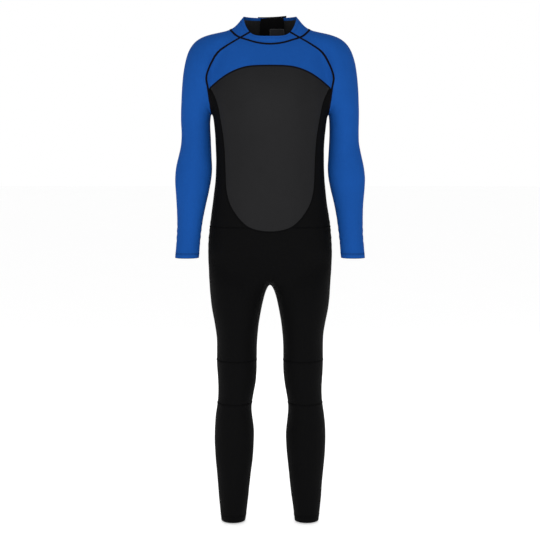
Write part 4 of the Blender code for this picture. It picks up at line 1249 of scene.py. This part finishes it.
def flatlock(width):
    """A flat seam of four rows of thread laced across two butted edges."""
    def section(track):
        beat = 2.0 * math.pi * track.run / STITCH_PITCH
        rows = []
        for place, (across, out) in enumerate(FLATLOCK_TOP):
            lace = 1.0 + 0.26 * np.sin(beat + math.pi * (place % 2) + across * 2.0)
            rows.append(np.column_stack((np.full(len(beat), across * width / 2.0), out * SEAM_RELIEF * lace)))
        for across in (0.98, -0.98):
            rows.append(np.column_stack((np.full(len(beat), across * width / 2.0), np.full(len(beat), -0.0007))))
        return np.stack(rows, axis=1)
    return section


def stitch_row(offset, size=THREAD, pitch=COVER_PITCH):
    """One row of stitches: a thread that dips into the cloth at every needle hole."""
    def section(track):
        dip = np.maximum(np.cos(2.0 * math.pi * track.run / pitch), 0.0) ** 5
        rise = size * 0.45 - dip * size * 1.9
        rows = []
        for point in range(8):
            angle = 2.0 * math.pi * point / 8.0
            rows.append(np.column_stack((offset + np.full(len(dip), math.cos(angle) * size),
                                         rise + math.sin(angle) * size)))
        return np.stack(rows, axis=1)
    return section


class Seams:
    """The lines of the cut body, ready to be sewn."""

    def __init__(self, body, paint):
        body.verts.index_update()
        self.co = coordinates(body)
        outward = body.verts.layers.float_vector["outward"]
        rows = body.verts.layers.float["rows"]
        self.outward = np.array([vert[outward][:] for vert in body.verts])
        self.rows = np.array([vert[rows] for vert in body.verts])
        self.pattern = Pattern()
        self.paint = paint
        self.behind = self.co[:, 1] > 0.0
        self.off_slot = ~(self.behind & (np.abs(self.co[:, 0]) < ZIP_SLOT / 2.0 - ON_SEAM)
                          & (self.co[:, 2] > WAIST_HEIGHT + 0.001))

    def track(self, on_line, key, closed=False, step=SEAM_STEP):
        return Track(self.co[on_line], self.outward[on_line], key[on_line], closed, step)

    def near(self, field, value, tolerance=ON_SEAM):
        return np.abs(field(self.co) - value) < tolerance

    def around(self, centre):
        return np.arctan2(self.co[:, 0] - centre[0], -(self.co[:, 1] - centre[1]))

    def sew(self, name, tracks, sections, material, slot, bodies=("suit",), bend=None, nodes=()):
        """Sew rows along tracks as one piece."""
        bm = bmesh.new()
        for section in sections:
            part = sweep(tracks, section)
            mesh = bpy.data.meshes.new("row")
            part.to_mesh(mesh)
            part.free()
            bm.from_mesh(mesh)
            bpy.data.meshes.remove(mesh)
        obj = add_object(name, bm, (material,))
        attach(obj, bodies, bend)
        if nodes:
            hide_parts(*nodes)
        return obj


def add_seams(body, paint):
    seams = Seams(body, paint)
    co = seams.co
    pattern = seams.pattern
    neck = pattern.neck(co)
    raglan = pattern.raglan(co)
    turn = seams.around((0.0, 0.0))
    on_neck = (np.abs(neck) < ON_SEAM) & seams.off_slot
    seams.sew("neck_flatlock", [seams.track(on_neck, turn)], [flatlock(SEAM_WIDTH)], paint.seam, "seam_tape",
              nodes=("neck_seam",))
    for side, sign in SIDES:
        mine = sign * co[:, 0] > 0.0
        armhole = mine & (np.abs(raglan) < ON_SEAM) & (co[:, 2] > ARMPIT.z - 0.03)
        armhole &= (neck < ON_SEAM) | ((co[:, 1] < SHOULDER_LINE) & (neck > 0.0))
        seams.sew("raglan_flatlock_" + side, [seams.track(armhole, pattern.raglan_run(co))],
                  [flatlock(SEAM_WIDTH)], paint.seam, "seam_tape",
                  nodes=tuple(part + side for part in ("raglan_front_seam_", "raglan_back_seam_", "collar_seam_")))
    on_body = (raglan < 0.0005) & (neck < 0.0)
    front = co[:, 1] < 0.0
    top = pattern.chest_top(co)
    flank = pattern.chest_side(co)
    arc = on_body & front & (np.abs(top) < ON_SEAM) & (flank > -0.0005)
    seams.sew("chest_arc_flatlock", [seams.track(arc, co[:, 0])], [flatlock(CHEST_SEAM_WIDTH)], paint.seam,
              "seam_tape", nodes=("chest_arc_seam",))
    rim = on_body & front & (np.abs(flank) < ON_SEAM) & (top > -0.0005)
    around_chest = np.arctan2(co[:, 0], 1.10 - co[:, 2])
    seams.sew("chest_rim_flatlock", [seams.track(rim, around_chest)], [flatlock(CHEST_SEAM_WIDTH)],
              paint.quiet_seam, "seam_tape", nodes=("chest_side_seam",))
    add_quiet_seams(seams, on_body, turn)
    add_hem_stitching(seams, turn)


def add_quiet_seams(seams, on_body, turn):
    """The black seams between black panels, and the back yoke's."""
    co = seams.co
    paint = seams.paint
    pattern = seams.pattern
    quiet = [flatlock(QUIET_SEAM_WIDTH)]
    full_turn = np.mod(turn, 2.0 * math.pi)
    waist = on_body & seams.near(height, WAIST_HEIGHT) & (seams.behind | (pattern.chest(co) < ON_SEAM))
    seams.sew("waist_flatlock", [seams.track(waist, full_turn)], quiet, paint.quiet_seam, "seam_tape")
    for side, sign in SIDES:
        mine = on_body & seams.behind & (sign * co[:, 0] > ZIP_SLOT / 2.0 - ON_SEAM)
        yoke = mine & seams.near(height, BACK_YOKE_HEIGHT)
        strip = mine & seams.near(pattern.back_strip, 0.0) & (co[:, 2] > WAIST_HEIGHT) & (co[:, 2] < BACK_YOKE_HEIGHT)
        seams.sew("back_yoke_flatlock_" + side, [seams.track(yoke, co[:, 0])], [flatlock(SEAM_WIDTH)], paint.seam,
                  "seam_tape")
        seams.sew("back_strip_flatlock_" + side, [seams.track(strip, co[:, 2])], quiet, paint.quiet_seam, "seam_tape")
        leg = sign * co[:, 0] > 0.0
        loops = seams.around((sign * 0.102, 0.0))
        for level, label in ((KNEE_TOP, "upper"), (KNEE_BOTTOM, "lower")):
            knee = leg & seams.near(height, level)
            seams.sew(f"{label}_knee_flatlock_{side}", [seams.track(knee, loops, True)], quiet, paint.quiet_seam,
                      "seam_tape", ("thigh_" + side, "shin_" + side), level_bend(KNEE_TOP, KNEE_BOTTOM))


def add_hem_stitching(seams, turn):
    """Twin rows of stitches round the wrists, ankles and collar, and along the zip."""
    co = seams.co
    paint = seams.paint
    twin = [stitch_row(-0.0016), stitch_row(0.0016)]
    for side, sign in SIDES:
        mine = sign * co[:, 0] > 0.0
        wrist = mine & seams.near(height, WRIST_HEIGHT + HEM_HEIGHT) & (sign * co[:, 0] > 0.19)
        wrist &= seams.pattern.raglan(co) > 0.0
        cuff = seams.track(wrist, seams.around((sign * 0.242, -0.028)), True, STITCH_STEP)
        seams.sew("wrist_stitching_" + side, [cuff], twin, paint.hem_thread, "seam_tape", ("forearm_" + side,))
        ankle = mine & seams.near(height, ANKLE_HEIGHT + ANKLE_HEM_HEIGHT)
        cuff = seams.track(ankle, seams.around((sign * 0.110, 0.006)), True, STITCH_STEP)
        seams.sew("ankle_stitching_" + side, [cuff], twin, paint.quiet_seam, "seam_tape", ("shin_" + side,))
        edge = seams.behind & seams.near(middle, ZIP_SLOT / 2.0) & mine & (co[:, 2] > WAIST_HEIGHT)
        track = seams.track(edge, co[:, 2], False, STITCH_STEP)
        rows = [stitch_row(-sign * 0.0022), stitch_row(-sign * 0.0070)]
        seams.sew("zip_stitching_" + side, [track], rows, paint.quiet_seam, "seam_tape")
    collar = (np.abs(seams.rows - COLLAR_STITCH_ROW) < 0.01) & seams.off_slot
    seams.sew("collar_stitching", [seams.track(collar, turn, False, STITCH_STEP)],
              [stitch_row(-0.0014, 0.00034), stitch_row(0.0014, 0.00034)], paint.collar_thread, "seam_tape")


# ---------------------------------------------------------------- zip, flap, label and tab

ZIP_FOOT = Vector((0.0, 0.092545, -0.575))
ZIP_LEAN = 0.01784
ZIP_LENGTH = 0.50008
TAPE_FACE = -0.0054
TOOTH_PITCH = 0.0030


def zip_place(along):
    """The zip's own frame, some way up from its foot: x across, y out of the back, z up."""
    return Matrix.Translation(ZIP_FOOT) @ Matrix.Rotation(-ZIP_LEAN, 4, "X") @ Matrix.Translation((0.0, 0.0, along))


def block(bm, x, y, z, bevel=0.0, segments=2):
    """A box between limits, with its edges rounded."""
    part = bmesh.new()
    size = [high - low for low, high in (x, y, z)]
    centre = [(high + low) / 2.0 for low, high in (x, y, z)]
    bmesh.ops.create_cube(part, size=1.0, matrix=Matrix.Translation(centre) @ Matrix.Diagonal((*size, 1.0)))
    if bevel:
        bmesh.ops.bevel(part, geom=list(part.edges), offset=bevel, segments=segments, profile=0.5, affect="EDGES",
                        material=-1)
    mesh = bpy.data.meshes.new("block")
    part.to_mesh(mesh)
    part.free()
    bm.from_mesh(mesh)
    bpy.data.meshes.remove(mesh)


def hard_piece(name, bm, along, material, body, node):
    """Set a hard piece of the zip in place, some way up from the zip's foot."""
    bm.transform(zip_place(along))
    piece = add_object(name, bm, (material,))
    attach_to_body(piece, body)
    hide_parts(node)


def add_chain(paint):
    """The zip's two rows of moulded teeth, each gripping the corded edge of its tape."""
    tooth_top = TAPE_FACE + 0.0036
    for side, sign in SIDES:
        bm = bmesh.new()
        start = 0.0065 + (0.0 if side == "left" else TOOTH_PITCH / 2.0)
        for number in range(int((ZIP_LENGTH - 0.0125) / TOOTH_PITCH)):
            low = start + number * TOOTH_PITCH
            stem = sorted((sign * 0.0004, sign * 0.0034))
            head = sorted((-sign * 0.0010, sign * 0.0010))
            block(bm, stem, (TAPE_FACE - 0.0004, tooth_top - 0.0003), (low, low + 0.00125), 0.00028, 1)
            block(bm, head, (TAPE_FACE + 0.0002, tooth_top), (low - 0.00005, low + 0.0013), 0.0004, 1)
        hard_piece("zip_chain_" + side, bm, 0.0, paint.plastic, "suit", "zip_teeth_" + side)
        add_tape(paint, side, sign)


def straight_track(co, out):
    return Track(np.array(co), np.array(out), np.arange(len(co)), False, STRAIGHT_STEP)


def add_tape(paint, side, sign):
    """One woven zip tape with the cord along its edge that the teeth grip."""
    place = zip_place(0.0)
    out = place.to_3x3() @ Vector((0.0, 1.0, 0.0))
    heights = (0.0005, 0.25, ZIP_LENGTH + 0.008)
    ends = [place @ Vector((0.0, 0.0, z)) + Vector((0.0, 0.0, HANG_HEIGHT)) for z in heights]
    track = straight_track([end[:] for end in ends], [out[:]] * 3)
    outline = [(0.0021, 0.0000), (0.0024, 0.0005), (0.0030, 0.0006), (0.0036, 0.0002), (0.0042, 0.0), (0.0080, 0.0),
               (0.0118, 0.0), (0.0120, -0.0004), (0.0118, -0.0008), (0.0080, -0.0008), (0.0036, -0.0010),
               (0.0026, -0.0012), (0.0021, -0.0006)]

    def section(line):
        points = np.array([(-sign * across, TAPE_FACE + out_) for across, out_ in outline])
        return np.repeat(points[None], len(line.run), axis=0)

    tape = add_object("zip_ribbon_" + side, sweep([track], section), (paint.tape,))
    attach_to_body(tape, "suit")
    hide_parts("zip_tape_" + side)


def add_stops(paint):
    top = TAPE_FACE + 0.0037
    for side, sign in SIDES:
        bm = bmesh.new()
        span = sorted((sign * 0.0006, sign * 0.0038))
        block(bm, span, (TAPE_FACE - 0.0006, top), (ZIP_LENGTH + 0.0005, ZIP_LENGTH + 0.0055), 0.0008, 3)
        hard_piece("zip_top_clip_" + side, bm, 0.0, paint.plastic, "suit", "zip_top_stop_" + side)
    bm = bmesh.new()
    block(bm, (-0.0038, 0.0038), (TAPE_FACE - 0.0006, top), (0.0005, 0.0055), 0.0009, 3)
    block(bm, (-0.0030, 0.0030), (top - 0.0002, top + 0.0004), (0.0018, 0.0042), 0.0004, 2)
    hard_piece("zip_bottom_clip", bm, 0.0, paint.plastic, "suit", "zip_bottom_stop")


def add_slider(paint):
    """Slider with rounded plates, side flanges and a bridge, and the puller hanging from it."""
    bm = bmesh.new()
    face = 0.0
    block(bm, (-0.0042, 0.0042), (face - 0.0012, face), (-0.0120, 0.0), 0.00055, 3)
    block(bm, (-0.0042, 0.0042), (-0.0079, -0.0067), (-0.0120, 0.0), 0.00055, 3)
    block(bm, (-0.0012, 0.0012), (-0.0073, face - 0.0006), (-0.0042, -0.0012), 0.0004, 2)
    for sign in (1.0, -1.0):
        flange = sorted((sign * 0.0037, sign * 0.0044))
        block(bm, flange, (face - 0.0026, face - 0.0005), (-0.0112, -0.0010), 0.0003, 2)
    block(bm, (-0.0010, 0.0010), (face - 0.0006, face + 0.0029), (-0.0060, -0.0050), 0.00035, 2)
    block(bm, (-0.0010, 0.0010), (face - 0.0006, face + 0.0029), (-0.0020, -0.0010), 0.00035, 2)
    block(bm, (-0.0011, 0.0011), (face + 0.0022, face + 0.0032), (-0.0062, -0.0008), 0.00040, 2)
    hard_piece("zip_runner", bm, ZIP_LENGTH, paint.metal, "zip_slider", "slider")
    bm = bmesh.new()
    drop = -0.0035
    pivot = face + 0.0011
    span = (pivot - 0.0006, pivot + 0.0006)
    for sign in (1.0, -1.0):
        block(bm, sorted((sign * 0.0016, sign * 0.0030)), span, (drop - 0.0050, drop + 0.0006), 0.0003, 2)
    block(bm, (-0.0030, 0.0030), span, (drop - 0.0006, drop + 0.0006), 0.0003, 2)
    block(bm, (-0.0031, 0.0031), span, (drop - 0.0240, drop - 0.0036), 0.0004, 3)
    for rib in range(5):
        low = drop - 0.0210 + rib * 0.0026
        block(bm, (-0.0024, 0.0024), (span[1] - 0.0003, span[1] + 0.00035), (low, low + 0.0012), 0.0003, 2)
    hard_piece("zip_pull", bm, ZIP_LENGTH, paint.metal, "zip_puller", "puller")


def across(co):
    return co[:, 0]


def back_strip_of(back, left, right, bottom, top=9.0):
    """The part of the back's surface between two uprights and two heights."""
    bm = back.copy()
    for field, value in ((across, left), (across, right), (height, bottom), (height, top)):
        cut(bm, field, value, lambda co: co[:, 1] > -9.0)
    keep = kept_faces(bm, lambda face: right < face.calc_center_median().x < left
                      and bottom < face.calc_center_median().z < top)
    bm.free()
    return keep


def sheet_piece(obj, body, node):
    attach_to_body(obj, body)
    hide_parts(node)


def add_neck_pieces(back, paint):
    """The flap behind the zip, its blank label, the loop patch and the closing tab."""
    flap = back_strip_of(back, 0.045, -0.032, WAIST_HEIGHT)
    for vert in flap.verts:
        vert.co.z += max(vert.co.z - 1.47, 0.0) * (0.14 + (vert.co.x - 0.045) * 1.4)
    size, area = lay_cloth_map(flap, *TRUNK_AXIS)
    thicken(flap, -0.0105, -0.0125)
    obj = dress(flap, "zip_flap_cloth", (paint.black,))
    sheet_piece(obj, "suit", "zip_backing_flap")

    label = back_strip_of(back, 0.045, 0.000, 1.446, 1.4685)
    size, area = lay_cloth_map(label, *TRUNK_AXIS)
    thicken(label, -0.0128, -0.0134)
    obj = dress(label, "blank_label", (paint.label,))
    sheet_piece(obj, "suit", "neck_label")
    label_border(back, paint)

    patch = back_strip_of(back, -0.010, -0.034, 1.466)
    size, area = lay_cloth_map(patch, *TRUNK_AXIS)
    thicken(patch, 0.0014, 0.0004)
    obj = dress(patch, "loop_patch_cloth", (paint.loop,))
    sheet_piece(obj, "suit", "loop_patch")

    tab = back_strip_of(back, 0.046, -0.034, 1.466)
    top = max(vert.co.z for vert in tab.verts)
    for vert in tab.verts:
        vert.co.z = 1.466 + (vert.co.z - 1.466) * (1.500 - 1.466 + (vert.co.x - 0.046) * 0.035) / (top - 1.466)
    size, area = lay_cloth_map(tab, *TRUNK_AXIS)
    thicken(tab, 0.0046, 0.0026)
    wall = tab.faces.layers.int["wall"]
    for face in tab.faces:
        face.material_index = 1 if face[wall] == INNER and face.calc_center_median().x < 0.0 else 0
    obj = dress(tab, "closing_tab", (paint.black, paint.hook))
    sheet_piece(obj, "neck_tab", "neck_tab")


def label_border(back, paint):
    """The stitched edge of the blank label."""
    bm = back_strip_of(back, 0.045, 0.000, 1.446, 1.4685)
    rim = [vert for vert in bm.verts if vert.is_boundary]
    outward = bm.verts.layers.float_vector["outward"]
    co = np.array([(vert.co - vert[outward] * 0.0136)[:] for vert in rim])
    out = np.array([(-vert[outward])[:] for vert in rim])
    key = np.arctan2(co[:, 0] - 0.0225, co[:, 2] - 1.45725)
    track = Track(co, out, key, True, 0.0005)
    bm.free()
    border = add_object("label_border", sweep([track], stitch_row(0.0, 0.0006, 0.0018)), (paint.label_edge,))
    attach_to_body(border, "suit")


def behind_the_zip(face):
    """Whether a face of the body is where the zip and the neck pieces go."""
    centre = face.calc_center_median()
    return centre.y > 0.02 and abs(centre.x) < 0.07 and centre.z > WAIST_HEIGHT - 0.03


def build_suit():
    add_camera()
    add_stage(pale_floor())
    paint = Finishes()
    body = smooth_body(3)
    count_rows_from_collar(body)
    relax_cloth(body)
    back = kept_faces(body, behind_the_zip)
    store_outward(back)
    for field, value, where in pattern_cuts(Pattern()):
        cut(body, field, value, where)
    store_outward(body)
    add_panels(body, paint)
    add_seams(body, paint)
    add_chain(paint)
    add_stops(paint)
    add_slider(paint)
    add_neck_pieces(back, paint)
    body.free()
    back.free()


build_suit()
